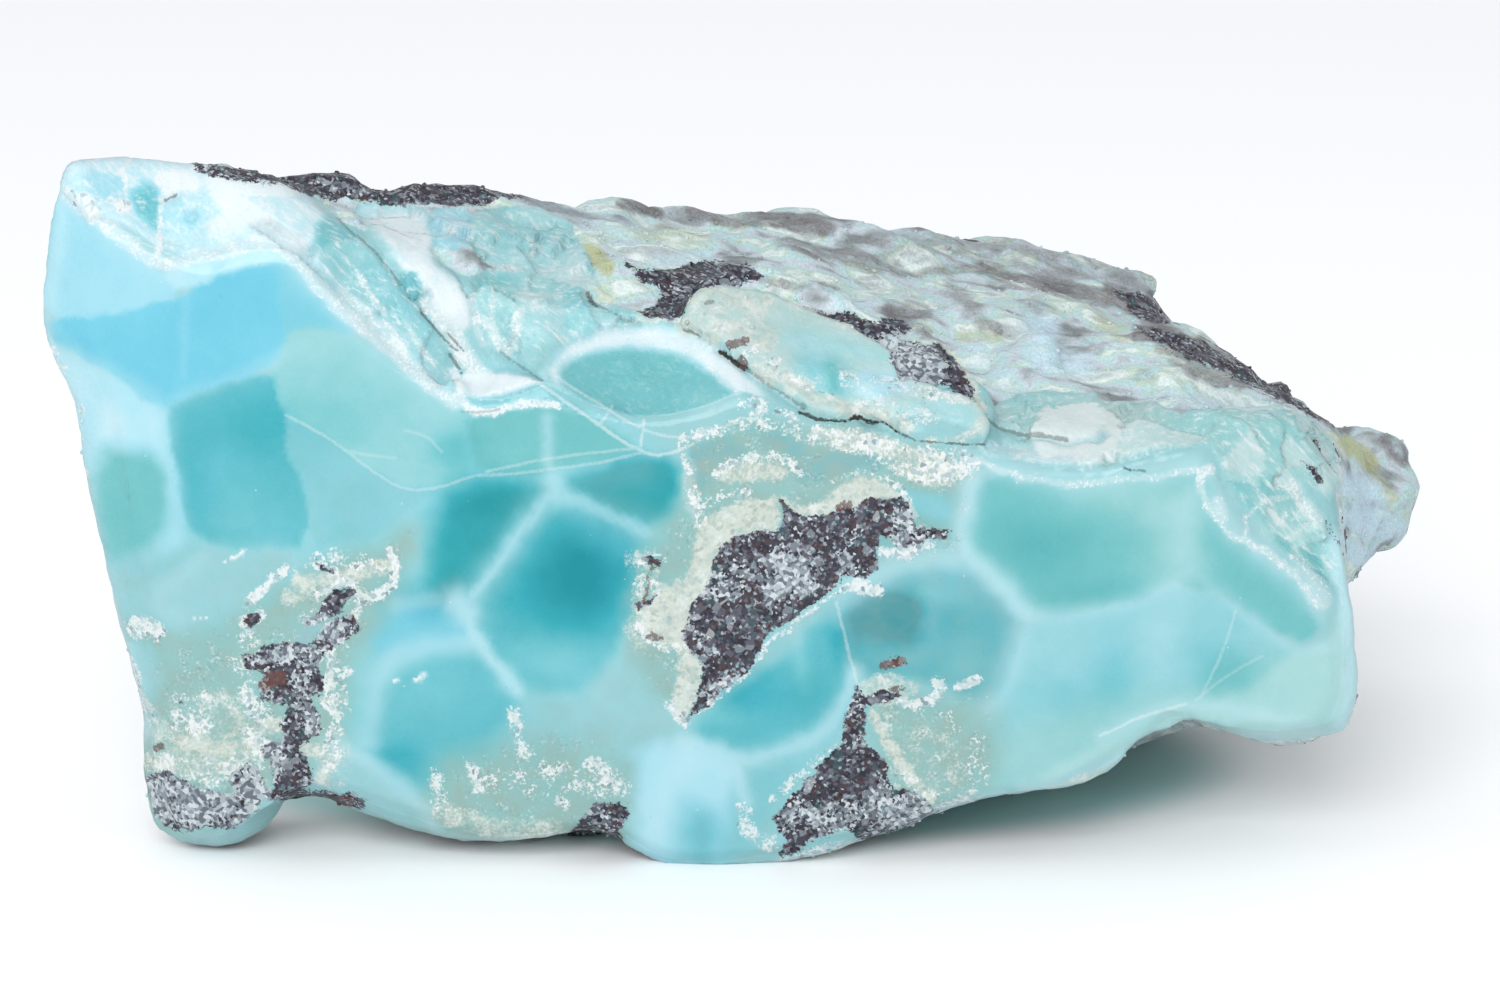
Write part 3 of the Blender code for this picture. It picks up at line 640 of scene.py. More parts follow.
CRUMBS: tuple[Union[Area, Stroke], ...] = (
    Area(((745, 426), (790, 418), (850, 426), (930, 446), (986, 450), (978, 480), (940, 490), (905, 478),
        (890, 460), (850, 452), (825, 448), (800, 436), (765, 432)), 0.50),
    Stroke(((750, 420), (800, 436), (850, 446), (900, 462), (950, 478)), 7, 0.62),
    Stroke(((684, 440), (686, 470), (696, 505)), 6, 0.6),
    Stroke(((700, 505), (722, 496), (745, 492)), 5, 0.5),
    Stroke(((718, 474), (745, 456), (790, 460), (798, 472)), 6, 0.8),
    Stroke(((830, 482), (860, 472), (890, 480), (910, 500)), 4, 0.7),
    Stroke(((640, 628), (660, 650), (684, 648)), 5, 0.7),
    Stroke(((640, 580), (650, 584)), 9, 0.6),
    Stroke(((668, 706), (684, 722)), 6, 0.9),
    Stroke(((700, 712), (722, 696), (748, 672), (765, 645), (790, 628), (815, 610), (840, 590),
        (874, 582)), 3, 0.72),
    Stroke(((860, 584), (878, 588)), 8, 0.95),
    Stroke(((884, 552), (905, 553), (928, 544)), 6, 0.95),
    Stroke(((636, 566), (650, 552), (664, 560)), 3, 0.7),
    Stroke(((745, 402), (770, 412), (790, 416)), 8, 0.5),
    Stroke(((700, 436), (744, 424)), 8, 0.7),
    Stroke(((250, 640), (238, 670), (262, 702), (252, 740), (236, 772)), 13, 0.5),
    Stroke(((336, 640), (338, 700), (330, 762)), 12, 0.48),
    Stroke(((150, 760), (200, 776), (256, 766)), 14, 0.46),
    Stroke(((300, 566), (330, 556), (368, 562)), 9, 0.42),
    Stroke(((286, 640), (310, 612), (350, 600)), 10, 0.42),
    Stroke(((500, 780), (560, 776), (610, 790)), 18, 0.40),
    Stroke(((780, 862), (850, 848), (900, 838), (944, 816)), 6, 0.62),
    Stroke(((890, 780), (920, 792), (940, 812)), 12, 0.5),
    Stroke(((776, 800), (800, 776), (830, 748)), 7, 0.42),
    Stroke(((950, 720), (976, 740), (978, 790)), 14, 0.31),
    Area(((122, 622), (136, 614), (156, 618), (172, 636), (156, 642), (132, 640)), 0.85),
    Area(((166, 712), (186, 706), (214, 716), (222, 732), (190, 736), (170, 728)), 0.75),
    Stroke(((176, 698), (200, 702), (210, 700)), 7, 0.6),
    Stroke(((246, 604), (262, 588), (286, 568)), 5, 0.95),
    Stroke(((244, 622), (262, 612)), 6, 0.8),
    Stroke(((318, 566), (334, 572)), 5, 0.9),
    Stroke(((388, 548), (398, 566), (392, 590), (372, 598)), 5, 0.9),
    Stroke(((340, 569), (366, 569), (392, 572)), 3, 0.7),
    Stroke(((318, 592), (346, 584), (366, 596)), 5, 0.8),
    Stroke(((345, 625), (356, 616), (364, 600)), 6, 0.7),
    Stroke(((330, 640), (350, 626)), 6, 0.7),
    Stroke(((330, 650), (334, 664), (330, 684)), 7, 0.8),
    Stroke(((338, 676), (350, 670)), 6, 0.6),
    Stroke(((326, 706), (338, 716)), 6, 0.8),
    Stroke(((244, 690), (256, 712)), 7, 0.8),
    Stroke(((226, 770), (246, 750), (262, 744)), 9, 0.6),
    Stroke(((436, 774), (440, 812)), 9, 0.55),
    Stroke(((470, 764), (478, 790)), 6, 0.85),
    Stroke(((514, 712), (520, 744), (528, 752)), 6, 0.85),
    Stroke(((556, 800), (566, 806)), 7, 0.6),
    Stroke(((592, 764), (608, 768), (620, 790)), 10, 0.65),
    Stroke(((742, 812), (750, 836), (772, 842)), 10, 0.6),
    Stroke(((830, 848), (880, 844), (930, 812), (970, 796)), 6, 0.6),
    Stroke(((956, 686), (978, 680)), 4, 0.95),
    Stroke(((900, 704), (930, 702), (946, 690), (936, 676)), 5, 0.85),
    Stroke(((76, 200), (92, 208), (120, 206)), 9, 0.6),
    Stroke(((80, 398), (84, 450), (92, 500), (94, 540)), 4, 0.35),
    Stroke(((50, 345), (66, 370)), 5, 0.4),
    Stroke(((120, 640), (140, 690), (150, 720)), 5, 0.6),
    Stroke(((840, 380), (900, 392), (960, 404)), 7, 0.5),
    Stroke(((748, 358), (780, 376), (812, 386)), 9, 0.5),
    Stroke(((860, 398), (900, 412), (930, 420)), 8, 0.45),
)

FROSTS: tuple[Union[Area, Stroke], ...] = (
    Stroke(((66, 196), (100, 222), (130, 246), (158, 266), (200, 258), (265, 240), (292, 254),
        (320, 288)), 7, 0.62),
    Stroke(((320, 288), (350, 318), (386, 345), (420, 376), (454, 402)), 8, 0.66),
    Area(((386, 332), (400, 336), (412, 358), (404, 360), (390, 346)), 0.9, 4),
    Area(((154, 176), (176, 172), (204, 180), (208, 191), (180, 196), (166, 203), (157, 190)), 0.9, 4),
    Area(((110, 204), (120, 202), (132, 208), (130, 216), (114, 215)), 0.8, 4),
    Stroke(((122, 174), (126, 182), (124, 196)), 3, 0.8),
    Stroke(((162, 202), (158, 236), (157, 258)), 3, 0.75),
    Area(((420, 290), (436, 305), (456, 322), (468, 340), (480, 362), (500, 374), (472, 374), (456, 366),
        (450, 345), (432, 325), (416, 306)), 0.8, 5),
    Stroke(((456, 370), (462, 404), (480, 413), (500, 412), (516, 403), (556, 406)), 4, 0.9),
    Stroke(((470, 296), (474, 320), (484, 344)), 4, 0.55),
    Stroke(((492, 288), (490, 316), (494, 340)), 4, 0.5),
    Stroke(((520, 312), (516, 334), (508, 352)), 5, 0.65),
    Stroke(((480, 318), (496, 332), (500, 350)), 5, 0.6),
    Stroke(((355, 272), (368, 292), (384, 312)), 3, 0.7),
    Stroke(((384, 262), (396, 284)), 2.5, 0.6),
    Stroke(((340, 290), (366, 316), (392, 330)), 5, 0.6),
    Stroke(((404, 320), (416, 345), (436, 362)), 3, 0.6),
    Stroke(((336, 206), (344, 214)), 5, 0.7),
    Stroke(((430, 258), (470, 262), (520, 266)), 3, 0.6),
    Stroke(((440, 240), (460, 228), (470, 236)), 4, 0.5),
    Stroke(((500, 262), (556, 246)), 3, 0.4),
    Stroke(((560, 268), (600, 296), (650, 322)), 4, 0.45),
    Stroke(((536, 290), (560, 298)), 3, 0.4),
    Stroke(((970, 458), (1010, 474), (1045, 483), (1085, 485), (1130, 480), (1194, 470)), 4, 0.56),
    Area(((1200, 466), (1210, 462), (1216, 472), (1206, 478)), 0.9, 4),
    Stroke(((1197, 470), (1203, 495), (1218, 518), (1240, 540), (1275, 556), (1302, 588),
        (1322, 608)), 4, 0.64),
    Stroke(((1218, 500), (1224, 512)), 6, 0.6),
    Stroke(((1246, 536), (1248, 512), (1262, 500), (1290, 498)), 3, 0.55),
    Stroke(((1278, 484), (1296, 486), (1300, 500), (1318, 520)), 8, 0.62),
    Stroke(((1276, 524), (1286, 514)), 3, 0.6),
    Stroke(((1296, 556), (1312, 580), (1324, 600)), 9, 0.50),
    Stroke(((690, 470), (688, 500), (700, 520)), 8, 0.5),
    Stroke(((416, 680), (422, 672)), 3, 0.9),
    Stroke(((394, 680), (398, 684)), 2, 0.9),
    Stroke(((226, 562), (243, 552)), 2, 0.9),
    Stroke(((196, 620), (206, 619)), 2, 0.9),
    Stroke(((958, 400), (966, 404)), 5, 0.8),
    Stroke(((556, 372), (580, 346), (620, 332), (660, 334)), 7, 0.4),
    Stroke(((700, 352), (716, 372), (736, 392)), 6, 0.5),
)

GRITS: tuple[Union[Area, Stroke], ...] = (
    Stroke(((888, 350), (912, 352), (934, 372), (906, 376)), 16, 1.6),
    Stroke(((160, 800), (200, 806), (250, 800)), 24, 1.25),
    Stroke(((776, 562), (800, 566), (806, 590), (776, 592)), 14, 1.0),
    Stroke(((904, 520), (924, 534), (900, 540)), 12, 1.0),
    Stroke(((704, 584), (730, 590)), 13, 0.9),
    Stroke(((716, 696), (730, 684)), 12, 0.9),
    Stroke(((846, 560), (858, 572)), 9, 0.9),
    Stroke(((700, 640), (712, 652)), 8, 0.7),
    Stroke(((724, 566), (738, 566)), 8, 0.7),
    Stroke(((780, 830), (800, 812), (830, 822), (850, 812)), 13, 0.6),
    Stroke(((850, 700), (856, 712)), 8, 0.6),
    Stroke(((890, 812), (930, 812)), 16, 1.0),
    Stroke(((880, 830), (870, 800), (884, 790)), 10, 0.7),
    Stroke(((262, 660), (300, 650), (322, 660)), 10, 0.9),
    Stroke(((262, 690), (276, 740), (262, 790)), 12, 1.0),
    Stroke(((230, 780), (270, 770)), 12, 0.9),
    Stroke(((310, 620), (340, 634)), 12, 1.1),
    Stroke(((150, 784), (170, 782)), 10, 0.9),
    Stroke(((596, 812), (612, 824)), 10, 0.6),
    Stroke(((300, 680), (316, 730)), 9, 0.9),
)

# Dark bands on the weathered top, and painted shade in the groove in front of the knob.
DARK_BANDS_AND_SHADE: tuple[Stroke, ...] = (
    Stroke(((624, 204), (640, 210), (656, 214)), 7, 0.8),
    Stroke(((690, 212), (715, 221), (740, 221), (770, 217), (800, 224), (830, 232)), 8, 0.8),
    Stroke(((780, 242), (810, 250), (840, 256), (880, 262), (900, 268)), 7, 0.65),
    Stroke(((860, 266), (900, 272), (940, 270), (1000, 270)), 5, 0.65),
    Stroke(((760, 280), (800, 286), (830, 292)), 6, 0.55),
    Stroke(((860, 282), (880, 290)), 5, 0.4),
    Stroke(((950, 288), (966, 302), (985, 325)), 8, 0.55),
    Stroke(((985, 322), (996, 328)), 7, 0.7),
    Stroke(((890, 308), (910, 322), (926, 330)), 9, 0.65),
    Stroke(((906, 308), (926, 314)), 8, 0.6),
    Stroke(((980, 270), (1060, 285), (1100, 298), (1130, 302), (1165, 304)), 10, 0.8),
    Stroke(((880, 242), (960, 244), (1040, 260), (1100, 272), (1150, 290)), 15, 0.5),
    Stroke(((1110, 290), (1140, 310), (1165, 318)), 11, 0.85),
    Stroke(((1140, 332), (1170, 338), (1200, 347)), 9, 1.0),
    Stroke(((1200, 347), (1240, 368), (1290, 392), (1330, 417), (1345, 427)), 10, 0.9),
    Stroke(((1160, 350), (1185, 362), (1210, 376), (1240, 385)), 9, 0.65),
    Stroke(((1265, 378), (1282, 384), (1288, 394)), 7, 0.7),
    Stroke(((1022, 304), (1050, 310)), 7, 0.45),
    Stroke(((1050, 330), (1066, 340)), 6, 0.3),
    Stroke(((1140, 376), (1150, 380)), 8, 0.45),
    Stroke(((1080, 338), (1100, 352)), 7, 0.4),
    Stroke(((1180, 362), (1200, 372)), 7, 0.5),
    Stroke(((1060, 446), (1090, 454), (1140, 448)), 6, 0.25),
    Stroke(((1386, 440), (1406, 458)), 9, 0.8),
    # These two strokes are painted shade in the groove between the chip and the knob behind it.
    Stroke(((1304, 462), (1322, 478)), 7, 1.0),
    Stroke(((1326, 520), (1336, 545)), 6, 0.8),
    Stroke(((1330, 505), (1395, 508)), 5, 0.25),
    Stroke(((50, 350), (68, 374)), 4, 0.35),
    Stroke(((150, 712), (160, 745)), 6, 0.5),
)

BLUES: tuple[Stroke, ...] = (
    Stroke(((1036, 320), (1048, 334)), 15, 0.7),
    Stroke(((1040, 356), (1078, 366)), 17, 0.6),
    Stroke(((980, 350), (1000, 380)), 18, 0.4),
    Stroke(((1170, 396), (1260, 410)), 15, 0.35),
    Stroke(((655, 262), (700, 258)), 8, 0.5),
    Stroke(((840, 300), (866, 304)), 10, 0.4),
    Stroke(((1345, 482), (1372, 494)), 15, 0.8),
    Stroke(((1380, 524), (1396, 530)), 14, 0.6),
    Stroke(((1345, 545), (1378, 568)), 12, 0.8),
    Stroke(((1356, 514), (1382, 526)), 18, 0.9),
    Stroke(((545, 205), (640, 230)), 20, 0.3),
    Stroke(((1306, 480), (1326, 512)), 8, 0.3),
)

OLIVES: tuple[Stroke, ...] = (
    Stroke(((586, 248), (600, 258), (608, 268)), 8, 1.0),
    Stroke(((1346, 444), (1370, 462)), 9, 0.9),
    Stroke(((1376, 478), (1394, 496)), 6, 0.5),
    Stroke(((960, 334), (1000, 336)), 6, 0.5),
    Stroke(((1100, 318), (1122, 338)), 8, 0.45),
    Stroke(((1290, 430), (1330, 440)), 7, 0.4),
    Stroke(((640, 232), (700, 236)), 8, 0.35),
    Stroke(((590, 280), (610, 300)), 8, 0.4),
)

GROOVES: tuple[Stroke, ...] = (
    Stroke(((684, 330), (700, 336)), 0.6, 0.6),
    Stroke(((718, 350), (728, 356), (738, 364), (746, 368)), 2.2, 1.0),
    Stroke(((746, 368), (766, 384), (790, 400), (806, 410)), 0.6, 0.45),
    Stroke(((800, 412), (816, 419), (826, 420)), 2.0, 0.9),
    Stroke(((826, 420), (845, 422), (856, 417), (870, 422), (885, 422), (896, 431)), 0.8, 1.0),
    Stroke(((896, 431), (914, 440), (935, 443), (985, 445)), 0.5, 0.7),
    Stroke(((588, 290), (600, 300)), 1.4, 0.8),
    Stroke(((600, 300), (620, 318), (640, 322)), 0.6, 0.35),
    # Along the lower edge of the ledge this dark line is partly a carved groove and partly painted shade
    # under the ledge.
    Stroke(((986, 418), (1010, 430), (1040, 438), (1066, 442)), 1.4, 0.5),
    Stroke(((166, 202), (178, 197)), 1.2, 0.6),
    Stroke(((1124, 467), (1130, 470)), 1.2, 0.7),
    Stroke(((1134, 470), (1146, 471)), 1.2, 0.5),
    Stroke(((338, 216), (356, 236), (380, 258), (398, 280), (410, 300)), 0.7, 0.4),
    Stroke(((420, 312), (436, 330), (450, 345), (458, 350)), 0.8, 0.6),
    Stroke(((448, 334), (464, 350)), 0.8, 0.6),
    Stroke(((450, 354), (462, 372)), 1.0, 0.6),
    Stroke(((500, 352), (520, 366), (542, 380)), 1.0, 0.4),
    Stroke(((462, 411), (484, 413), (500, 409)), 0.6, 0.35),
    Stroke(((898, 368), (902, 382)), 2.0, 0.95),
    Stroke(((884, 342), (892, 356)), 1.4, 0.8),
    Stroke(((912, 380), (942, 390)), 0.6, 0.5),
    Stroke(((706, 307), (712, 306)), 1.4, 0.5),
    Stroke(((774, 411), (780, 413)), 1.2, 0.6),
)

RUSTS: tuple[Stroke, ...] = (
    Stroke(((266, 684), (280, 678)), 7, 0.9),
    Stroke(((730, 350), (742, 346)), 4, 0.8),
    Stroke(((740, 362), (745, 368)), 3, 0.8),
    Stroke(((884, 664), (902, 660)), 5, 0.7),
    Stroke(((893, 690), (905, 688)), 4, 0.7),
    Stroke(((155, 748), (160, 746)), 4, 0.7),
    Stroke(((650, 638), (662, 638)), 4, 0.8),
    Stroke(((652, 562), (644, 603)), 3, 0.6),
    Stroke(((838, 508), (850, 503)), 4, 0.7),
    Stroke(((335, 800), (350, 802)), 4, 0.6),
)

PLATE: Line = ((682, 330), (686, 315), (698, 296), (712, 290), (740, 290), (770, 297), (800, 307),
        (830, 319), (860, 334), (884, 350), (894, 362), (905, 380), (940, 390), (958, 397), (975, 405),
        (986, 418), (988, 430), (980, 442), (950, 445), (920, 442), (900, 433), (885, 423), (860, 418),
        (840, 421), (815, 418), (800, 405), (780, 392), (760, 378), (746, 366), (738, 362), (722, 345),
        (710, 335))

COVERS: dict[str, tuple[Union[Area, Stroke], ...]] = {
    "frost": FROSTS,
    "cream": CREAMS,
    "crumb": CRUMBS,
    "rust": RUSTS,
    "grit": GRITS,
    "dark": DARK_BANDS_AND_SHADE,
    "blue": BLUES,
    "olive": OLIVES,
}

LENS: Line = ((536, 380), (556, 350), (600, 330), (650, 322), (706, 334), (746, 366), (772, 402),
        (750, 430), (700, 440), (600, 414))

CHIP_FACETS: tuple[Cell, ...] = (
    # The corner chip and the slope to its right.
    Cell(Tone.PALE_SKY, ((58, 150), (130, 152), (210, 168), (340, 196), (350, 290), (265, 236), (160, 266),
        (66, 205)), 5),
    Cell(Tone.SKY, ((80, 176), (122, 174), (124, 200), (100, 204), (84, 196)), 8),
    Cell(Tone.TEAL, ((128, 196), (146, 184), (162, 196), (163, 238), (150, 232), (134, 214)), 7),
    Cell(Tone.SKY, ((168, 206), (214, 198), (240, 210), (210, 232), (166, 238)), 12),
    Cell(Tone.MILK, ((208, 176), (330, 197), (352, 240), (310, 262), (262, 232), (190, 236),
        (230, 205)), 12),
    # The long streaked facet, and the glassy slope behind it.
    Cell(Tone.MILK, ((340, 198), (420, 204), (436, 232), (430, 262), (470, 290), (474, 340), (430, 312),
        (396, 262)), 8),
    Cell(Tone.STREAK, ((334, 214), (360, 238), (398, 280), (420, 310), (450, 345), (460, 372), (452, 394),
        (410, 354), (366, 318), (332, 282), (312, 250), (318, 224)), 6),
    Cell(Tone.GREY_TEAL, ((356, 256), (384, 262), (410, 298), (440, 340), (436, 352), (400, 318),
        (370, 290)), 8),
    Cell(Tone.STORM, ((398, 273), (414, 271), (421, 284), (418, 299), (408, 300)), 3),
    Cell(Tone.PALE_SKY, ((430, 206), (470, 210), (476, 250), (438, 256), (428, 230)), 8),
    Cell(Tone.FAINT_GREEN, ((464, 206), (560, 210), (592, 262), (600, 292), (556, 276), (500, 264),
        (470, 256)), 9),
    Cell(Tone.PALE_GREEN, ((474, 266), (520, 266), (600, 292), (650, 324), (580, 318), (540, 352),
        (504, 352), (474, 320)), 10),
    Cell(Tone.FAINT_GREEN, ((516, 282), (560, 300), (640, 324), (590, 336), (544, 352), (520, 330)), 10),
    Cell(Tone.MILK, ((456, 370), (500, 372), (542, 380), (566, 396), (588, 412), (556, 408), (514, 404),
        (498, 414), (462, 411)), 4),
    # The lens and its white surround.
    Cell(Tone.MILK, LENS, 11),
    Cell(Tone.LENS, ((554, 368), (580, 355), (620, 348), (662, 350), (700, 364), (726, 386), (748, 410),
        (738, 426), (704, 438), (672, 438), (644, 432), (602, 412), (568, 394)), 7),
    Cell(Tone.STORM, ((596, 412), (620, 402), (640, 416), (636, 448), (604, 428)), 3),
    Cell(Tone.STORM, ((646, 424), (676, 440), (652, 450)), 3),
    # The chip at the right and the pale ledges behind the rim.
    Cell(Tone.SEA_GLASS, ((1196, 462), (1270, 466), (1306, 490), (1330, 540), (1350, 620), (1318, 604),
        (1270, 556), (1214, 510)), 5),
    Cell(Tone.PEARL, ((976, 436), (1060, 446), (1100, 446), (1190, 438), (1200, 468), (1130, 482),
        (1045, 482), (976, 462)), 5),
    Cell(Tone.LEDGE, ((988, 402), (1040, 392), (1110, 398), (1108, 440), (1060, 448), (1000, 430)), 7),
    Cell(Tone.CELADON, ((1104, 402), (1150, 404), (1188, 420), (1180, 440), (1120, 446), (1100, 430)), 7),
    Cell(Tone.LEDGE, ((1080, 448), (1188, 414), (1260, 404), (1334, 430), (1340, 500), (1300, 486),
        (1200, 466), (1080, 474)), 5),
    # The plate that lies on the rim.
    Cell(Tone.CELADON, PLATE, 3),
    Cell(Tone.FAINT_GREEN, ((780, 334), (840, 340), (884, 352), (900, 372), (860, 366), (800, 360),
        (776, 350)), 10),
    Cell(Tone.SEA, ((790, 352), (850, 366), (860, 396), (826, 404), (800, 384)), 12),
    Cell(Tone.LEAF_TEAL, ((822, 366), (838, 368), (840, 392), (824, 394)), 9),
    Cell(Tone.PALE_SKY, ((852, 372), (904, 380), (914, 400), (866, 404)), 9),
    Cell(Tone.FAINT_GREEN, ((900, 404), (950, 402), (976, 418), (970, 436), (920, 436), (890, 420)), 8),
)


class Wire:
    """A socket that takes part in Python expressions."""

    def __init__(self, tree: "Tree", socket: bpy.types.NodeSocket) -> None:
        """Wraps a socket of a tree."""
        self.tree = tree
        self.socket = socket

    def __add__(self, other: Operand) -> "Wire":
        """This plus other."""
        return self.tree.maths("ADD", self, other)

    __radd__ = __add__

    def __mul__(self, other: Operand) -> "Wire":
        """This times other."""
        return self.tree.maths("MULTIPLY", self, other)

    __rmul__ = __mul__

    def __sub__(self, other: Operand) -> "Wire":
        """This less other."""
        return self.tree.maths("SUBTRACT", self, other)

    def __rsub__(self, other: Operand) -> "Wire":
        """Other less this."""
        return self.tree.maths("SUBTRACT", other, self)

    def between(self, low: float, high: float) -> "Wire":
        """Grades this smoothly from 0 at low to 1 at high."""
        settings = {"interpolation_type": "SMOOTHSTEP"}
        inputs = {"Value": self, "From Min": low, "From Max": high}
        return self.tree.node("ShaderNodeMapRange", settings, inputs)

    def most(self, other: Operand) -> "Wire":
        """The larger of this and other."""
        return self.tree.maths("MAXIMUM", self, other)

    def least(self, other: Operand) -> "Wire":
        """The smaller of this and other."""
        return self.tree.maths("MINIMUM", self, other)


class Tree:
    """A material's node tree, built from Python."""

    def __init__(self, material: bpy.types.Material) -> None:
        """Starts the tree of a material empty."""
        material.use_nodes = True
        self.tree = material.node_tree
        self.tree.nodes.clear()

    def node(
        self, kind: str, settings: Optional[dict] = None, inputs: Optional[dict] = None, output: object = 0
    ) -> Wire:
        """Adds any node.

        Args:
            kind: Blender's name of the node's type.
            settings: its properties, set before its sockets; a ramp's stops are (place, colour) pairs.
            inputs: values or links, by the socket's name, identifier or number.
            output: the name or number of the socket that is given back.

        Returns:
            The output socket, wrapped.
        """
        made = self.tree.nodes.new(kind)
        for name, value in (settings or {}).items():
            if name == "stops":
                self._stops(made.color_ramp, value)
            else:
                setattr(made, name, value)
        for name, value in (inputs or {}).items():
            self._feed(self._socket(made, name), value)
        return Wire(self, made.outputs[output])

    @staticmethod
    def _socket(made: bpy.types.Node, name: object) -> bpy.types.NodeSocket:
        """Finds an input by number, identifier or name."""
        if isinstance(name, int):
            return made.inputs[name]
        for socket in made.inputs:
            if socket.identifier == name:
                return socket
        return made.inputs[name]

    def _feed(self, socket: bpy.types.NodeSocket, value: object) -> None:
        """Links a wire to a socket, or sets the socket's value."""
        if isinstance(value, Wire):
            self.tree.links.new(value.socket, socket)
        elif isinstance(value, tuple) and socket.type == "RGBA":
            socket.default_value = (*value, 1.0)
        else:
            socket.default_value = value

    @staticmethod
    def _stops(ramp: bpy.types.ColorRamp, stops: Sequence[tuple[float, Colour]]) -> None:
        """Sets a ramp's stops."""
        while len(ramp.elements) < len(stops):
            ramp.elements.new(1.0)
        for element, (place, colour) in zip(ramp.elements, stops):
            element.position = place
            element.color = (*colour, 1.0)

    def maths(self, operation: str, first: Operand, second: Operand = 0.0) -> Wire:
        """Adds a Math node."""
        return self.node("ShaderNodeMath", {"operation": operation}, {0: first, 1: second})

    def mix(self, share: Operand, first: object, second: object, blend: str = "MIX") -> Wire:
        """Mixes two colours.

        Args:
            share: how much of the second there is, from 0 to 1.
            first, second: colours or wires that carry them.
            blend: how the second goes over the first.

        Returns:
            The mixed colour.
        """
        settings = {"data_type": "RGBA", "blend_type": blend}
        inputs = {"Factor_Float": share, "A_Color": first, "B_Color": second}
        return self.node("ShaderNodeMix", settings, inputs, 2)

    def ramp(self, place: Operand, stops: Sequence[tuple[float, Colour]], steps: str = "EASE") -> Wire:
        """Reads a colour off a ramp at a place from 0 to 1."""
        made = self.node("ShaderNodeValToRGB", {"stops": stops}, {0: place})
        made.socket.node.color_ramp.interpolation = steps
        return made

    def field(self, name: str) -> Wire:
        """Reads one of the numbers that the mesh carries at its vertices."""
        return self.node("ShaderNodeAttribute", {"attribute_name": name}, {}, "Fac")

    def coordinates(self, along: Optional[tuple[float, float, float]] = None, longer: float = 1.0) -> Wire:
        """Object coordinates.

        Args:
            along: a direction of unit length that the pattern is drawn out along, if any.
            longer: how many times longer it gets that way.

        Returns:
            The coordinates.
        """
        place = self.node("ShaderNodeTexCoord", {}, {}, "Object")
        if along is None:
            return place
        reach = self.vector("DOT_PRODUCT", {0: place, 1: along}, "Value")
        shorter = self.vector("SCALE", {0: along, "Scale": reach * (1 - 1 / longer)})
        return self.vector("SUBTRACT", {0: place, 1: shorter})

    def vector(self, operation: str, inputs: dict, output: object = 0) -> Wire:
        """Adds a Vector Math node."""
        return self.node("ShaderNodeVectorMath", {"operation": operation}, inputs, output)

    def grain(
        self, size: float, detail: float, rough: float, twist: float = 0.0, where: Optional[Wire] = None
    ) -> Wire:
        """Noise from about 0 to 1.

        Args:
            size: the width of its grains in millimetres.
            detail: how many finer noises it holds.
            rough: how strong those are.
            twist: how far it is distorted.
            where: the coordinates that it reads.

        Returns:
            The noise.
        """
        inputs = {"Vector": where or self.coordinates(), "Scale": 1 / (size * MM), "Detail": detail}
        inputs.update({"Roughness": rough, "Distortion": twist})
        return self.node("ShaderNodeTexNoise", {}, inputs, "Fac")

    def speckle(self, size: float) -> Wire:
        """A random number from 0 to 1 for each crystal grain of a size in millimetres."""
        inputs = {"Vector": self.coordinates(), "Scale": 1 / (size * MM), "Randomness": 1.0}
        colour = self.node("ShaderNodeTexVoronoi", {}, inputs, "Color")
        return self.node("ShaderNodeSeparateColor", {}, {0: colour}, 0)

    def dots(self, apart: float, radius: float) -> Wire:
        """Tiny round spots, 1 inside them and 0 outside, about so many millimetres apart."""
        inputs = {"Vector": self.coordinates(), "Scale": 1 / (apart * MM), "Randomness": 1.0}
        away = self.node("ShaderNodeTexVoronoi", {}, inputs, "Distance")
        return away.between(radius / apart, radius / apart * 0.6)

    def bump(self, height: Operand, depth: float) -> Wire:
        """Tilts the surface by a height from 0 to 1 that stands for a depth in millimetres."""
        return self.node("ShaderNodeBump", {}, {"Height": height, "Distance": depth * MM, "Strength": 1.0})

    def grey(self, level: Wire) -> Wire:
        """Turns a number into a grey."""
        return self.node("ShaderNodeCombineColor", {}, {0: level, 1: level, 2: level})

    def end(self, shader: Wire) -> None:
        """Links a shader to the material's output."""
        made = self.tree.nodes.new("ShaderNodeOutputMaterial")
        self.tree.links.new(shader.socket, made.inputs["Surface"])


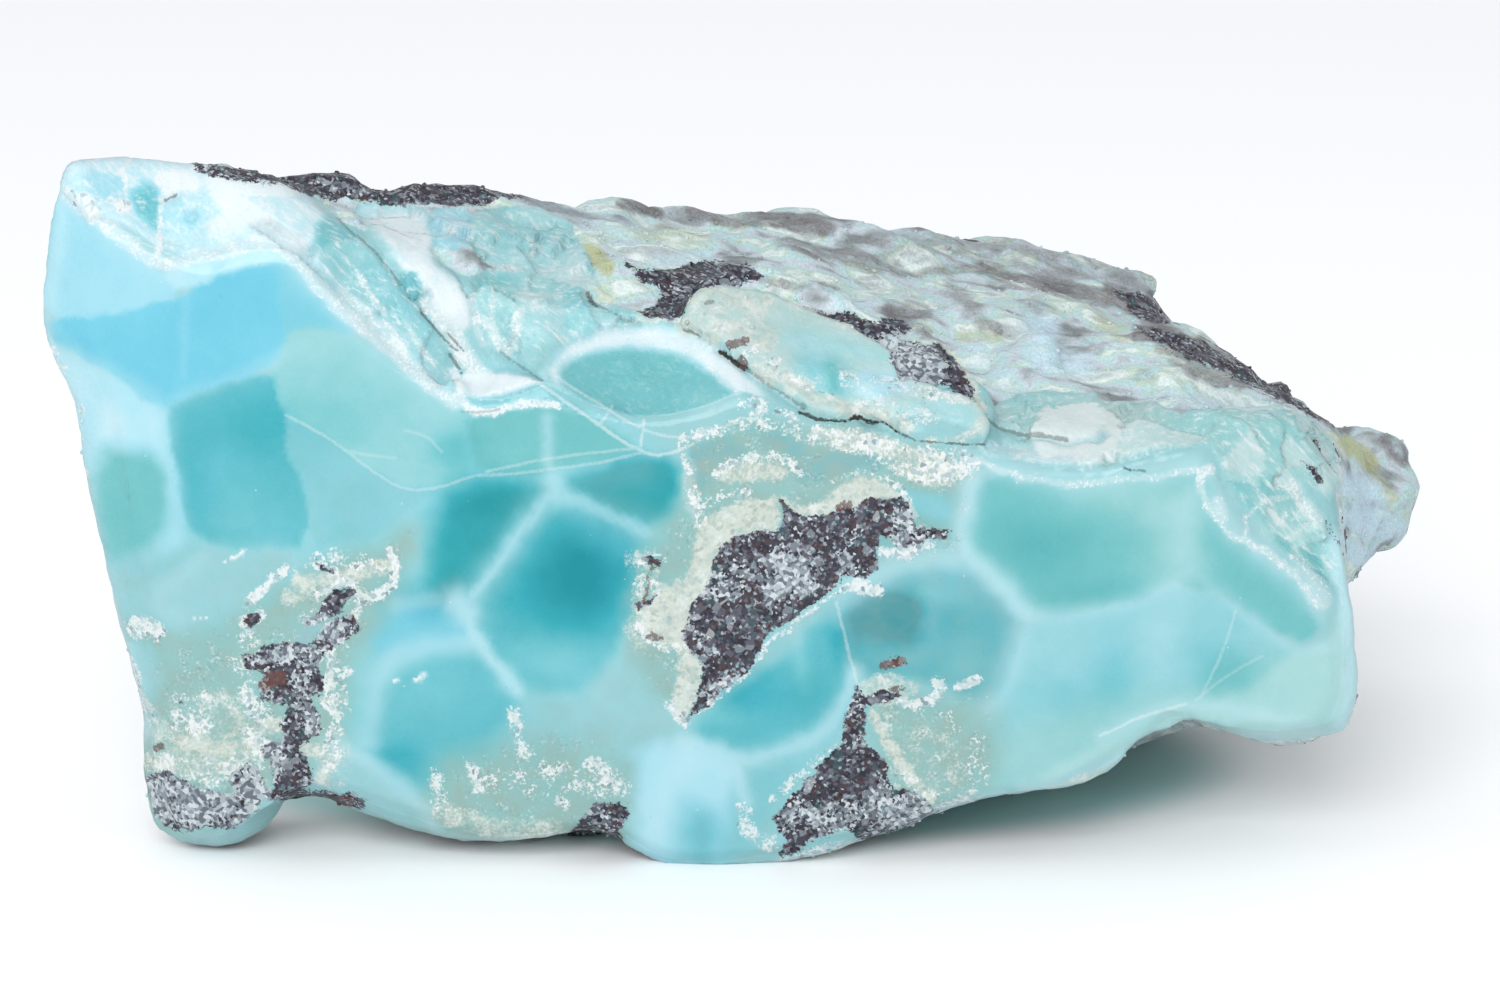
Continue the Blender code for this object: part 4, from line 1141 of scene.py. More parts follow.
@dataclass(frozen=True)
class Pectolite:
    """The blue mineral: two ramps of colour, from milk to the deepest blue and to the deepest green."""

    sky: tuple[tuple[float, Colour], ...] = (
        (0.0, srgb(238, 251, 255)),
        (0.2, srgb(187, 237, 249)),
        (0.5, srgb(128, 216, 238)),
        (0.75, srgb(70, 190, 220)),
        (1.0, srgb(12, 160, 190)),
    )
    sea: tuple[tuple[float, Colour], ...] = (
        (0.0, srgb(236, 250, 250)),
        (0.22, srgb(186, 232, 232)),
        (0.5, srgb(122, 204, 206)),
        (0.8, srgb(44, 174, 178)),
        (1.0, srgb(0, 146, 148)),
    )
    haze: Colour = srgb(164, 188, 178)
    wall: Colour = srgb(205, 244, 253)

    def colour(self, tree: Tree, deeper: Wire) -> Wire:
        """Gives the mineral's colour from the numbers that the mesh carries.

        Args:
            tree: the tree that the nodes go in.
            deeper: what is added to how deep its blue is.

        Returns:
            The colour.
        """
        cloud = tree.grain(5.0, 2.0, 0.55) - 0.5
        deep = tree.field("deep") + cloud * 0.14 + deeper
        warm = tree.field("warm") + cloud * 0.3
        sky, sea = tree.ramp(deep, self.sky, "LINEAR"), tree.ramp(deep, self.sea, "LINEAR")
        blue = tree.mix(warm.between(0.0, 1.0), sky, sea)
        wisps = tree.grain(2.2, 2.0, 0.6, 0.4).between(0.3, 0.75)
        hazy = tree.mix(tree.field("haze") * (0.60 + wisps * 0.5), blue, self.haze)
        return tree.mix(tree.field("wall"), hazy, self.wall)


@dataclass(frozen=True)
class Basalt:
    """The matrix: fine dark grains with white and teal ones among them, and clumps of pale ones.

    Attributes:
        grains: the dark ramp that each grain draws its colour from.
        pales: the ramp of the clumps.
        fine_size: the width of the fine grains in millimetres.
        coarse_size: the width of the coarse ones.
        clump_size: the width of the pale ones.
    """

    fine_size: float = 0.26
    coarse_size: float = 0.62
    clump_size: float = 0.34
    grains: tuple[tuple[float, Colour], ...] = (
        (0.0, srgb(38, 34, 48)),
        (0.26, srgb(72, 66, 82)),
        (0.46, srgb(84, 60, 62)),
        (0.56, srgb(58, 62, 76)),
        (0.70, srgb(120, 122, 136)),
        (0.82, srgb(176, 188, 198)),
        (0.89, srgb(66, 112, 116)),
        (0.97, srgb(226, 236, 240)),
    )
    pales: tuple[tuple[float, Colour], ...] = (
        (0.0, srgb(116, 124, 136)),
        (0.28, srgb(156, 168, 178)),
        (0.52, srgb(198, 210, 216)),
        (0.80, srgb(232, 240, 244)),
    )

    def colour(self, tree: Tree) -> Wire:
        """Gives the matrix's colour, grain by grain."""
        grain = tree.speckle(self.fine_size)
        fine = tree.ramp(grain, self.grains, "CONSTANT")
        coarse = tree.ramp(tree.speckle(self.coarse_size), self.grains, "CONSTANT")
        both = tree.mix(0.45, fine, coarse)
        amount = tree.grain(2.0, 3.0, 0.6) - 0.07 + tree.field("grit") * 0.42
        pale = (amount + (grain - 0.5) * 0.5).between(0.56, 0.74)
        clumps = tree.ramp(tree.speckle(self.clump_size), self.pales, "CONSTANT")
        return tree.mix(pale * 0.9, both, clumps)


@dataclass(frozen=True)
class LarimarFinish:
    """The whole stone's material: polished and broken pectolite, crust, matrix, frost and cracks.

    Colours and ramps come first. Then polish_edge is the cut between polish and break, and widths, sizes
    and depths are millimetres.
    """

    pectolite: Pectolite = field(default_factory=Pectolite)
    basalt: Basalt = field(default_factory=Basalt)
    frost: Colour = srgb(248, 254, 255)
    blue: Colour = srgb(198, 226, 240)
    olive: Colour = srgb(180, 184, 128)
    rust: Colour = srgb(122, 72, 60)
    groove: Colour = srgb(52, 58, 50)
    bright: float = 0.60
    # Painted light in part: the weathered top's factor is larger than bright, to stand in for the stronger
    # light that falls on the top.
    skin_bright_painted_light: float = 0.78
    refraction: float = 1.55
    polish_rough: float = 0.20
    skin_rough: float = 0.6
    rock_rough: float = 0.62
    shine: float = 0.2
    rock_shine: float = 0.3
    bump_size: float = 0.5
    bump_depth: float = 0.12
    polish_edge: Edge = (0.3, 0.7)
    crumb_size: float = 0.38
    crack_width: float = 0.16
    groove_width: float = 0.13
    dots_apart: float = 2.6
    dot_radius: float = 0.09
    chip_longer: float = 6.0
    bed_longer: float = 1.9
    bed_way: tuple[float, float, float] = (0.92, 0.32, -0.23)
    chip_way: tuple[float, float, float] = (0.60, 0.24, -0.76)
    creams: tuple[tuple[float, Colour], ...] = (
        (0.30, srgb(188, 204, 200)),
        (0.42, srgb(208, 214, 196)),
        (0.52, srgb(220, 225, 206)),
        (0.62, srgb(228, 236, 226)),
        (0.74, srgb(248, 251, 249)),
    )
    crumb: tuple[tuple[float, Colour], ...] = (
        (0.0, srgb(252, 254, 254)),
        (0.45, srgb(238, 244, 238)),
        (0.62, srgb(220, 234, 238)),
        (0.80, srgb(188, 208, 214)),
        (0.92, srgb(152, 168, 178)),
        (0.97, srgb(252, 253, 254)),
    )
    bands: tuple[tuple[float, Colour], ...] = (
        (0.34, srgb(74, 66, 70)),
        (0.50, srgb(114, 106, 108)),
        (0.66, srgb(146, 148, 150)),
    )
    crust: tuple[tuple[float, Colour], ...] = (
        (0.26, srgb(132, 138, 140)),
        (0.36, srgb(170, 182, 186)),
        (0.44, srgb(200, 210, 218)),
        (0.51, srgb(184, 216, 220)),
        (0.57, srgb(192, 212, 200)),
        (0.65, srgb(224, 236, 234)),
        (0.76, srgb(184, 196, 198)),
    )

    def build(self) -> bpy.types.Material:
        """Builds the material.

        Returns:
            The finished material.
        """
        material = bpy.data.materials.new(STONE_MATERIAL)
        tree = Tree(material)
        fine = tree.grain(0.28, 2.0, 0.7) - 0.5
        blotch = tree.grain(1.4, 3.0, 0.6) - 0.5
        crusty = (tree.field("crust") + blotch * 0.8).between(0.40, 0.60)
        rock = (tree.field("rock") + fine * 0.9 + blotch * 1.3).between(-0.08, 0.08)
        rust = (tree.field("rust") + fine * 1.4 + blotch * 0.8).between(0.4, 0.6)
        polish = tree.field("polish").between(*self.polish_edge)
        height = tree.grain(self.bump_size, 2.0, 0.6)
        rough = self.polish_rough + (1 - polish) * 0.14
        rough = rough + tree.field("frost") * 0.2 + tree.field("crumb") * 0.2
        bumpy = height * ((1 - polish) * 0.7 + tree.field("crumb") * 0.5)
        glass = self._shader(tree, self.glass(tree, fine, blotch), rough, bumpy, self.shine)
        skin = self._shader(tree, self.skin(tree, fine, blotch), self.skin_rough, height, self.shine)
        stained = tree.mix(rust * 0.6, self.basalt.colour(tree), self.rust)
        stained = tree.mix(1.0, stained, (self.bright,) * 3, "MULTIPLY")
        stone = self._shader(tree, stained, self.rock_rough, height, self.rock_shine)
        outside = tree.node("ShaderNodeMixShader", {}, {0: crusty, 1: glass, 2: skin})
        inside = rock.most(rust * 0.8)
        tree.end(tree.node("ShaderNodeMixShader", {}, {0: inside, 1: outside, 2: stone}))
        return material

    def glass(self, tree: Tree, fine: Wire, blotch: Wire) -> Wire:
        """Gives the colour of the polished and freshly broken mineral, with what lies on it.

        Args:
            tree: the tree that the nodes go in.
            fine: fine noise about 0.
            blotch: coarser noise about 0.

        Returns:
            The colour.
        """
        polish = tree.field("polish").between(*self.polish_edge)
        chip = tree.field("chip")
        frost = tree.field("frost")
        sugar = (frost + (fine * 2.2 + blotch * 1.2) * (frost * 4).least(1.0)).between(0.50, 0.85)
        frosted = sugar.most(frost.between(0.05, 1.1) * 0.7)
        crumb, cream = tree.field("crumb"), tree.field("cream")
        crumb = (crumb + (fine * 2.0 + blotch * 1.8) * (crumb * 4).least(1.0)).between(0.38, 0.72)
        cream = (cream + (fine * 1.3 + blotch * 1.5) * (cream * 4).least(1.0)).between(0.18, 0.92)
        hazy = tree.field("haze").between(0.30, 0.65) * polish
        dust = (fine * 1.6 + blotch * 1.3).between(0.12, 0.55) * hazy * 0.6
        murk = (fine * -1.6 + blotch * 1.3).between(0.12, 0.55) * hazy * 0.22
        crack = self.crack_width - tree.field("crack") + fine * 0.12
        crack = crack.between(0.0, self.crack_width)
        groove = self.groove_width - tree.field("groove") + blotch * 0.22 + fine * 0.2
        groove = groove.between(0.0, 0.10)
        flow = tree.coordinates(self.chip_way, self.chip_longer)
        feather = tree.grain(0.6, 3.0, 0.7, 0.3, flow)
        splinters = feather.between(0.50, 0.72) * (blotch + 0.75) * chip

        deeper = fine * 0.07 + blotch * 0.06 + (feather - 0.5 + blotch) * chip * -0.28
        base = self.pectolite.colour(tree, deeper)
        base = tree.mix(splinters.least(0.8), base, self.frost)
        base = tree.mix(crack * tree.field("crack_white"), base, self.frost)
        base = tree.mix(frosted * 0.9, base, self.frost)
        crumbs = tree.ramp(tree.speckle(self.crumb_size), self.crumb, "CONSTANT")
        creams = tree.ramp(blotch + fine * 0.5 + 0.5, self.creams, "LINEAR")
        base = tree.mix(murk, base, self.groove)
        base = tree.mix(dust, base, crumbs)
        base = tree.mix(cream * 0.85, base, tree.mix(0.35, creams, crumbs))
        base = tree.mix(crumb * 0.85, base, crumbs)
        dots = tree.dots(self.dots_apart, self.dot_radius)
        base = tree.mix(dots * polish * 0.5, base, self.frost)
        base = tree.mix(groove * tree.field("groove_dark"), base, self.groove)
        return tree.mix(1.0, base, (self.bright,) * 3, "MULTIPLY")

    def skin(self, tree: Tree, fine: Wire, blotch: Wire) -> Wire:
        """Gives the colour of the weathered top, drawn out along the beds.

        Args:
            tree: the tree that the nodes go in.
            fine: fine noise about 0.
            blotch: coarser noise about 0.

        Returns:
            The colour.
        """
        beds = tree.coordinates(self.bed_way, self.bed_longer)
        patches = (tree.grain(3.4, 2.0, 0.5, 0.3, beds) - 0.5) * 1.3 + 0.5
        skin = tree.ramp(patches + blotch * 0.16, self.crust, "LINEAR")
        skin = tree.mix((tree.field("blue") + blotch * 0.5).between(0.0, 1.0) * 0.85, skin, self.blue)
        skin = tree.mix((tree.field("olive") + blotch * 0.6).between(0.0, 1.0) * 0.75, skin, self.olive)
        drawn = tree.grain(2.0, 2.0, 0.55, 0.2, beds) - 0.5
        # The dark field holds the top's dark bands and, in the groove before the knob, painted shade.
        dark = (tree.field("dark") + drawn * 1.2 + blotch * 0.8).between(0.10, 1.0)
        skin = tree.mix(dark * 0.9, skin, tree.ramp(drawn + fine * 0.3 + 0.5, self.bands, "LINEAR"))
        cream = (tree.field("cream") * (blotch * 1.8 + 1.0)).between(0.25, 0.75)
        skin = tree.mix(cream * 0.7, skin, tree.ramp(blotch + 0.5, self.creams, "LINEAR"))
        # Painted light in part: the top is scaled lighter than the glass, standing in for the stronger light
        # on the top.
        mottle = (fine * 0.7 + 1.0).least(1.2) * self.skin_bright_painted_light
        return tree.mix(1.0, skin, tree.grey(mottle), "MULTIPLY")

    def _shader(self, tree: Tree, colour: Wire, rough: Operand, height: Wire, shine: float) -> Wire:
        """Adds a Principled shader.

        Args:
            tree: the tree that it goes in.
            colour: its base colour.
            rough: its roughness.
            height: its bumps, from 0 to 1.
            shine: how strongly its surface reflects.

        Returns:
            The shader.
        """
        normal = tree.bump(height, self.bump_depth)
        inputs = {"Base Color": colour, "Roughness": rough, "Normal": normal}
        inputs.update({"IOR": self.refraction, "Specular IOR Level": shine})
        return tree.node("ShaderNodeBsdfPrincipled", {}, inputs)


class Skin:
    """A triangle mesh held as arrays, which can be made finer, smoothed and moved."""

    def __init__(self, mesh: bpy.types.Mesh) -> None:
        """Copies a mesh of loose triangles and joins the corners that meet."""
        raw = np.empty(len(mesh.vertices) * 3)
        mesh.vertices.foreach_get("co", raw)
        mesh.calc_loop_triangles()
        corners = np.empty(len(mesh.loop_triangles) * 3, dtype=np.int64)
        mesh.loop_triangles.foreach_get("vertices", corners)
        places = np.round(raw.reshape(-1, 3) / MM, 4)
        unique, first = np.unique(places, axis=0, return_inverse=True)
        self.places = unique
        self.faces = first.reshape(-1)[corners].reshape(-1, 3)
        alive = [self.faces[:, i] != self.faces[:, (i + 1) % 3] for i in range(3)]
        self.faces = self.faces[alive[0] & alive[1] & alive[2]]

    def edges(self) -> tuple[Points, Points]:
        """Finds the edges.

        Returns:
            Each edge's two ends, and each face's three edges.
        """
        pairs = np.sort(self.faces[:, [0, 1, 1, 2, 2, 0]].reshape(-1, 2), axis=1)
        size = len(self.places)
        keys, back = np.unique(pairs[:, 0] * size + pairs[:, 1], return_inverse=True)
        return np.stack([keys // size, keys % size], axis=1), back.reshape(-1, 3)

    def refine(self, wanted: Callable[[Points, Points], Points], looser: float) -> None:
        """Splits each edge that is longer than wanted, once.

        Args:
            wanted: gives the wanted edge length for some places and the directions they face.
            looser: what the wanted length is multiplied by.
        """
        ends, of_face = self.edges()
        a, b = self.places[ends[:, 0]], self.places[ends[:, 1]]
        facing = self.normals()[ends].sum(axis=1)
        split = np.linalg.norm(a - b, axis=1) > wanted((a + b) / 2, facing) * looser
        middle = np.full(len(ends), -1)
        middle[split] = len(self.places) + np.arange(split.sum())
        self.places = np.vstack([self.places, ((a + b) / 2)[split]])
        m = middle[of_face]
        cut = m >= 0
        count = cut.sum(axis=1)
        made = [self.faces[count == 0]]
        for turn in range(3):
            order = [(turn + i) % 3 for i in range(3)]
            f, e, c = self.faces[:, order], m[:, order], cut[:, order]
            one = (count == 1) & c[:, 0]
            made.append(np.stack([f[one, 0], e[one, 0], f[one, 2]], axis=1))
            made.append(np.stack([e[one, 0], f[one, 1], f[one, 2]], axis=1))
            two = (count == 2) & ~c[:, 2]
            made.append(np.stack([f[two, 0], e[two, 0], e[two, 1]], axis=1))
            made.append(np.stack([e[two, 0], f[two, 1], e[two, 1]], axis=1))
            made.append(np.stack([f[two, 0], e[two, 1], f[two, 2]], axis=1))
        f, e = self.faces[count == 3], m[count == 3]
        for i in range(3):
            made.append(np.stack([f[:, i], e[:, i], e[:, (i + 2) % 3]], axis=1))
        made.append(e)
        self.faces = np.vstack(made)

    def spread(self, values: Points, times: int, share: float = 0.5) -> Points:
        """Averages values with their neighbours.

        Args:
            values: one number or row for each vertex.
            times: how often.
            share: how much of the neighbours' mean is taken each time.

        Returns:
            The smoother values.
        """
        ends, _ = self.edges()
        a, b = ends.T
        flat = values.reshape(len(values), -1).astype(float)
        size = len(flat)
        count = np.bincount(a, minlength=size) + np.bincount(b, minlength=size)
        count = np.maximum(count, 1)[:, None]
        for _ in range(times):
            total = np.stack([np.bincount(a, flat[b, k], size) + np.bincount(b, flat[a, k], size)
                              for k in range(flat.shape[1])], axis=1)
            flat = flat * (1 - share) + total / count * share
        return flat.reshape(values.shape)

    def normals(self) -> Points:
        """Gives the outward direction at each vertex."""
        a, b, c = (self.places[self.faces[:, i]] for i in range(3))
        across = np.cross(b - a, c - a)
        total = np.zeros_like(self.places)
        for i in range(3):
            for k in range(3):
                total[:, k] += np.bincount(self.faces[:, i], across[:, k], len(self.places))
        return total / np.maximum(np.linalg.norm(total, axis=1), 1e-12)[:, None]

    def seen_from(self, eye: Points, clear: float = 0.25) -> Points:
        """Tells which vertices nothing hides from a place.

        Args:
            eye: the place.
            clear: how far off the surface the look starts.

        Returns:
            1 where a vertex is seen and 0 where not.
        """
        hull = BVHTree.FromPolygons(self.places.tolist(), self.faces.tolist(), all_triangles=True)
        normals = self.normals()
        towards = eye - self.places
        towards /= np.linalg.norm(towards, axis=1)[:, None]
        facing = (normals * towards).sum(axis=1) > 0.0
        seen = np.zeros(len(self.places))
        starts = self.places + normals * clear
        for i in np.flatnonzero(facing):
            seen[i] = hull.ray_cast(Vector(starts[i]), Vector(towards[i]))[0] is None
        return seen

    def to_mesh(self, name: str, fields: dict[str, Points]) -> bpy.types.Mesh:
        """Makes a Blender mesh in metres.

        Args:
            name: the mesh's name.
            fields: numbers for each vertex, by the name that materials read.

        Returns:
            The mesh.
        """
        mesh = bpy.data.meshes.new(name)
        mesh.from_pydata((self.places * MM).tolist(), [], self.faces.tolist())
        for key, values in fields.items():
            mesh.attributes.new(key, "FLOAT", "POINT").data.foreach_set("value", values.astype(np.float32))
        mesh.shade_smooth()
        mesh.validate()
        return mesh


def noise_at(places: Points, size: float, shift: float = 0.0) -> Points:
    """Smooth noise from about -1 to 1.

    Args:
        places: where it is read, in millimetres.
        size: the width of its lumps.
        shift: moves the pattern, so that two noises differ.

    Returns:
        One number for each place.
    """
    scaled = places / size + shift
    return np.array([noise.noise(p, noise_basis="PERLIN_NEW") for p in scaled.tolist()])


@dataclass
class Stone:
    """The stone's own mesh, on the CAD solid's form, with the numbers that its material reads.

    Attributes:
        face_centre: middle of the polished dome, across and up.
        face_front: how far forward the dome comes.
        face_sag: how far the dome falls back at its half length and half height.
        face_half: the dome's half length and half height.
        fine: edge length at cracks and at the matrix's outlines.
        medium: edge length on the broken surfaces next to the polished face.
        far: edge length on the broken surfaces further back that the photograph shows.
        plain: edge length on the rest of the polished face.
        coarse: edge length elsewhere.
        far_behind: how far behind the dome far takes over from medium.
        detail: pixels from a crack, a groove or the matrix's outline that get the fine length.
        passes: each pass's multiple of the wanted lengths, and how often it smooths.
        sharpen: how much of the form that smoothing takes away is given back.
        base: the height below which nothing moves.
        polish_edge: how far behind the dome the polish has ended, and where it starts to.
        plate_soft, lens_soft: pixels over which the edges of the plate and the lens fade.
        splinters: how many facets the broken pectolite has.
        splinter_tilt: how steep they usually are.
    """

    face_centre: tuple[float, float] = (58.0 - 62.24, 26.0)
    face_front: float = -32.9
    face_sag: float = 2.2
    face_half: tuple[float, float] = (56.0, 52.0)
    fine: float = 0.30
    medium: float = 0.50
    far: float = 0.85
    plain: float = 0.70
    coarse: float = 1.8
    far_behind: Edge = (14.0, 24.0)
    detail: float = 4.0
    passes: tuple[tuple[float, int], ...] = ((8, 0), (4, 0), (3, 1), (2, 1), (1.5, 2), (1.2, 2), (1, 2))
    sharpen: float = 0.9
    base: float = 0.02
    polish_edge: Edge = (0.75, 0.3)
    plate_soft: float = 7.0
    lens_soft: float = 8.0
    splinters: int = 1400
    splinter_tilt: float = 0.28

    def dome(self, places: Points) -> Points:
        """Gives the depth of the polished dome behind each place across and up."""
        across = (places[:, 0] - self.face_centre[0]) / self.face_half[0]
        up = (places[:, 2] - self.face_centre[1]) / self.face_half[1]
        return self.face_front + self.face_sag * (across**2 + up**2)

    def polished(self, places: Points) -> Points:
        """Tells how much each place belongs to the polished face, from 0 to 1."""
        return smoothstep(*self.polish_edge, self.behind(places))

    def behind(self, places: Points) -> Points:
        """Tells how far each place lies behind the polished dome."""
        return places[:, 1] - self.dome(places)

    def wanted(self, places: Points, facing: Points) -> Points:
        """Gives the edge length that each place needs.

        Args:
            places: the middles of edges.
            facing: the directions they face, not of unit length.

        Returns:
            The lengths.
        """
        towards = ((SIGHT.eye - places) * facing).sum(axis=1) > 0
        further = smoothstep(*self.far_behind, self.behind(places))
        size = np.where(towards, self.medium + (self.far - self.medium) * further, self.coarse)
        size[self.polished(places) > 0.9] = self.plain
        shown = np.flatnonzero(towards)
        spots = SIGHT.project(places[shown])
        lines = [(rounded(stroke.line, False, 1), False) for stroke in CRACKS + GROOVES]
        lines += [(np.array(ring, dtype=float), True) for ring in FACE_ROCKS]
        for line, closed in lines:
            near = distance_to_line(spots, line, closed, reach=self.detail + 5) < self.detail
            size[shown[near]] = self.fine
        return size

    def build(self) -> bpy.types.Object:
        """Builds the stone.

        Returns:
            The stone's object, dressed.
        """
        skin = Skin(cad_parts[NODE].data)
        low, high = skin.places.min(axis=0), skin.places.max(axis=0)
        for looser, smooth in self.passes:
            skin.refine(self.wanted, looser)
            if smooth:
                self.settle(skin, smooth)
        LOG.info("stone refined to %d triangles", len(skin.faces))
        fields = self.paint(skin)
        self.carve(skin, fields)
        skin.places = np.clip(skin.places, low, high)
        mesh = skin.to_mesh("stone", fields)
        mesh.materials.append(LarimarFinish().build())
        stone = bpy.data.objects.new("stone", mesh)
        bpy.context.scene.collection.objects.link(stone)
        return stone

    def settle(self, skin: Skin, times: int) -> None:
        """Smooths the facets away, and keeps the polished face and the base where they are."""
        smooth = skin.spread(skin.places, times)
        smooth += (smooth - skin.spread(smooth, times)) * self.sharpen
        base = skin.places[:, 2] < self.base
        smooth[base] = skin.places[base]
        dome = self.dome(smooth)
        on_face = smoothstep(0.5, 0.2, np.abs(smooth[:, 1] - dome))
        on_face *= smoothstep(-0.93, -0.985, skin.normals()[:, 1])
        smooth[:, 1] += (dome - smooth[:, 1]) * on_face
        skin.places = smooth

    def paint(self, skin: Skin) -> dict[str, Points]:
        """Works out the numbers that the material reads.

        Args:
            skin: the smooth stone.

        Returns:
            One array for each number, by its name.
        """
        places = skin.places
        sharp = SIGHT.project(places)
        drift = np.stack([noise_at(places, 5.0, 2.3), noise_at(places, 5.0, 11.7)], axis=1)
        jitter = np.stack([noise_at(places, 1.5, 7.1), noise_at(places, 1.5, 15.9)], axis=1)
        spots = sharp + drift * 9 + jitter * 4
        near = sharp + drift * 3 + jitter * 3
        seen = skin.seen_from(SIGHT.eye)
        shown = np.clip(skin.spread(seen, 6) * 1.6 - 0.1, 0.0, 1.0)
        polish = self.polished(places) * shown
        tone = self.tones(CELLS, Tone.MIST, spots)[0]
        chip, covered = self.tones(CHIP_FACETS, Tone.FAINT_GREEN, near)
        broken = smoothstep(0.6, 0.2, skin.spread(polish, 1)) * shown
        tone += (chip - tone) * (broken * covered)[:, None]
        plate = Area(PLATE, 1.0, self.plate_soft).cover(sharp)
        calm = np.maximum(plate, Area(LENS, 1.0, self.lens_soft).cover(sharp))
        glassy = broken * covered * (1 - calm)
        split = np.flatnonzero(glassy > 0.02)
        relief, crease, tint = np.zeros(len(places)), np.ones(len(places)), np.zeros(len(places))
        relief[split], crease[split], tint[split] = self.facets(places[split])
        tone[:, 0] += tint * 0.08 * glassy
        for heart in HEARTS:
            away = ((spots - np.array(heart.at)) / np.array(heart.reach)) ** 2
            tone[:, 0] += heart.deeper * np.exp(-away.sum(axis=1)) * shown
        fields = {"deep": tone[:, 0], "warm": tone[:, 1], "haze": tone[:, 2], "polish": polish}
        fields["chip"] = broken * covered * (1 - calm * 0.8)
        fields["wall"] = np.max([stroke.glow(near) for stroke in WALLS], axis=0) * shown
        for key, covers in COVERS.items():
            fields[key] = np.max([cover.cover(near) for cover in covers], axis=0) * shown
        fields["frost"] = np.maximum(fields["frost"], smoothstep(0.12, 0.0, crease) * glassy * 0.5)
        fields["relief"] = relief * glassy
        for key, share, strokes in (("crack", "crack_white", CRACKS), ("groove", "groove_dark", GROOVES)):
            fields[key] = np.full(len(places), 2.0)
            fields[share] = np.zeros(len(places))
            for stroke in strokes:
                line = rounded(stroke.line, False, 1)
                away = distance_to_line(sharp + jitter * 0.8, line, reach=20) * SIGHT.scale
                away = np.maximum(away - (stroke.half_width - 1) * SIGHT.scale * 0.7, 0.0)
                nearer = away < fields[key]
                fields[key] = np.where(nearer, away, fields[key])
                fields[share] = np.where(nearer & (away < 1.4), stroke.strength * shown, fields[share])
        rings = [depth_inside(sharp, np.array(ring, dtype=float)) for ring in FACE_ROCKS + TOP_ROCKS]
        rock = np.max(rings, axis=0) * SIGHT.scale
        beds = noise_at(places * np.array([0.35, 1.0, 1.6]), 9.0, 3.1) + noise_at(places, 4.0, 8.7) * 0.4
        fields["rock"] = np.clip(np.where(shown > 0.5, rock, (beds - 0.02) * 6.0), -3.0, 3.0)
        edge = smoothstep(6.0, 4.0, self.behind(places)) * shown
        fields["crust"] = np.clip(np.maximum(1 - shown, broken * (1 - covered) * (1 - edge)), 0.0, 1.0)
        fields["plate"] = plate * shown * (1 - polish)
        loose = np.max([fields["crumb"] * 0.9, fields["cream"] * 0.4, (fields["rock"] > 0.3) * 0.25,
                        fields["crust"] * (0.06 + 0.12 * shown)], axis=0)
        fields["loose"] = loose * smoothstep(0.8, 4.0, self.behind(places))
        return fields

    @staticmethod
    def tones(cells: Sequence[Cell], ground: Tone, spots: Points) -> tuple[Points, Points]:
        """Lays cells over a ground tone, each over the ones before it.

        Args:
            cells: the cells.
            ground: the tone where there is none.
            spots: each vertex's place in the photograph.

        Returns:
            Each vertex's tone, and how much of it comes from cells.
        """
        tone = np.tile(np.array(ground.value), (len(spots), 1))
        covered = np.zeros(len(spots))
        for cell in cells:
            share = smoothstep(-cell.soft, cell.soft, depth_inside(spots, rounded(cell.outline, True, 1)))
            tone += (np.array(cell.tone.value) - tone) * share[:, None]
            covered = np.maximum(covered, share)
        return tone, covered

    def carve(self, skin: Skin, fields: dict[str, Points]) -> None:
        """Gives the broken surfaces their relief, and pits the matrix a little below the polish.

        Args:
            skin: the stone, which is moved.
            fields: the numbers that the material reads.
        """
        places = skin.places
        normals = skin.normals()
        bare = smoothstep(-0.2, 0.3, fields["rock"]) * (1 - fields["polish"])
        rough = np.clip(fields["crust"] + bare, 0.0, 1.0)
        lumps = noise_at(places, 3.2, 1.7) * 0.45 + noise_at(places, 1.3, 5.9) * 0.25
        slant = places @ np.array([0.62, 0.25, -0.74])
        steps = noise_at(np.stack([slant * 0.25, places[:, 0] * 0.8, places[:, 2] * 0.8], axis=1), 1.6, 2.2)
        glassy = (1 - fields["polish"]) * (1 - rough) * (1 - fields["plate"])
        pits = smoothstep(0.0, 0.5, fields["rock"]) * fields["polish"]
        grains = noise_at(places, 0.7, 4.4)
        up = lumps * rough + steps * 0.12 * glassy + fields.pop("relief") * 0.6
        up += pits * (grains * 0.10 - 0.10)
        up += smoothstep(0.0, 1.0, fields["plate"]) * (0.75 + lumps * 0.4)
        up -= fields["groove_dark"] * smoothstep(0.45, 0.0, fields["groove"]) * 0.45 * (1 - fields["polish"])
        up[places[:, 2] < self.base] = 0.0
        skin.places = places + normals * up[:, None]

    def facets(self, places: Points) -> tuple[Points, Points, Points]:
        """Gives a relief of flat splintered facets.

        Args:
            places: where it is wanted.

        Returns:
            The relief from -1 to 1, the height over the next facet, and a random tint for each facet.
        """
        chance = np.random.default_rng(5)
        low, high = places.min(axis=0), places.max(axis=0)
        seeds = chance.uniform(low, high, (self.splinters, 3))
        tilts = chance.normal(0.0, self.splinter_tilt, (self.splinters, 3))
        tree = KDTree(len(seeds))
        for i, seed in enumerate(seeds.tolist()):
            tree.insert(seed, i)
        tree.balance()
        found = np.array([[hit[1] for hit in tree.find_n(place, 4)] for place in places.tolist()])
        heights = ((places[:, None, :] - seeds[found]) * tilts[found]).sum(axis=2)
        order = heights.argsort(axis=1)
        rows = np.arange(len(places))
        top, second = heights[rows, order[:, -1]], heights[rows, order[:, -2]]
        tint = chance.normal(0.0, 1.0, len(seeds))[found[rows, order[:, -1]]]
        return np.clip(top - 0.9, -1.0, 1.0), top - second, tint


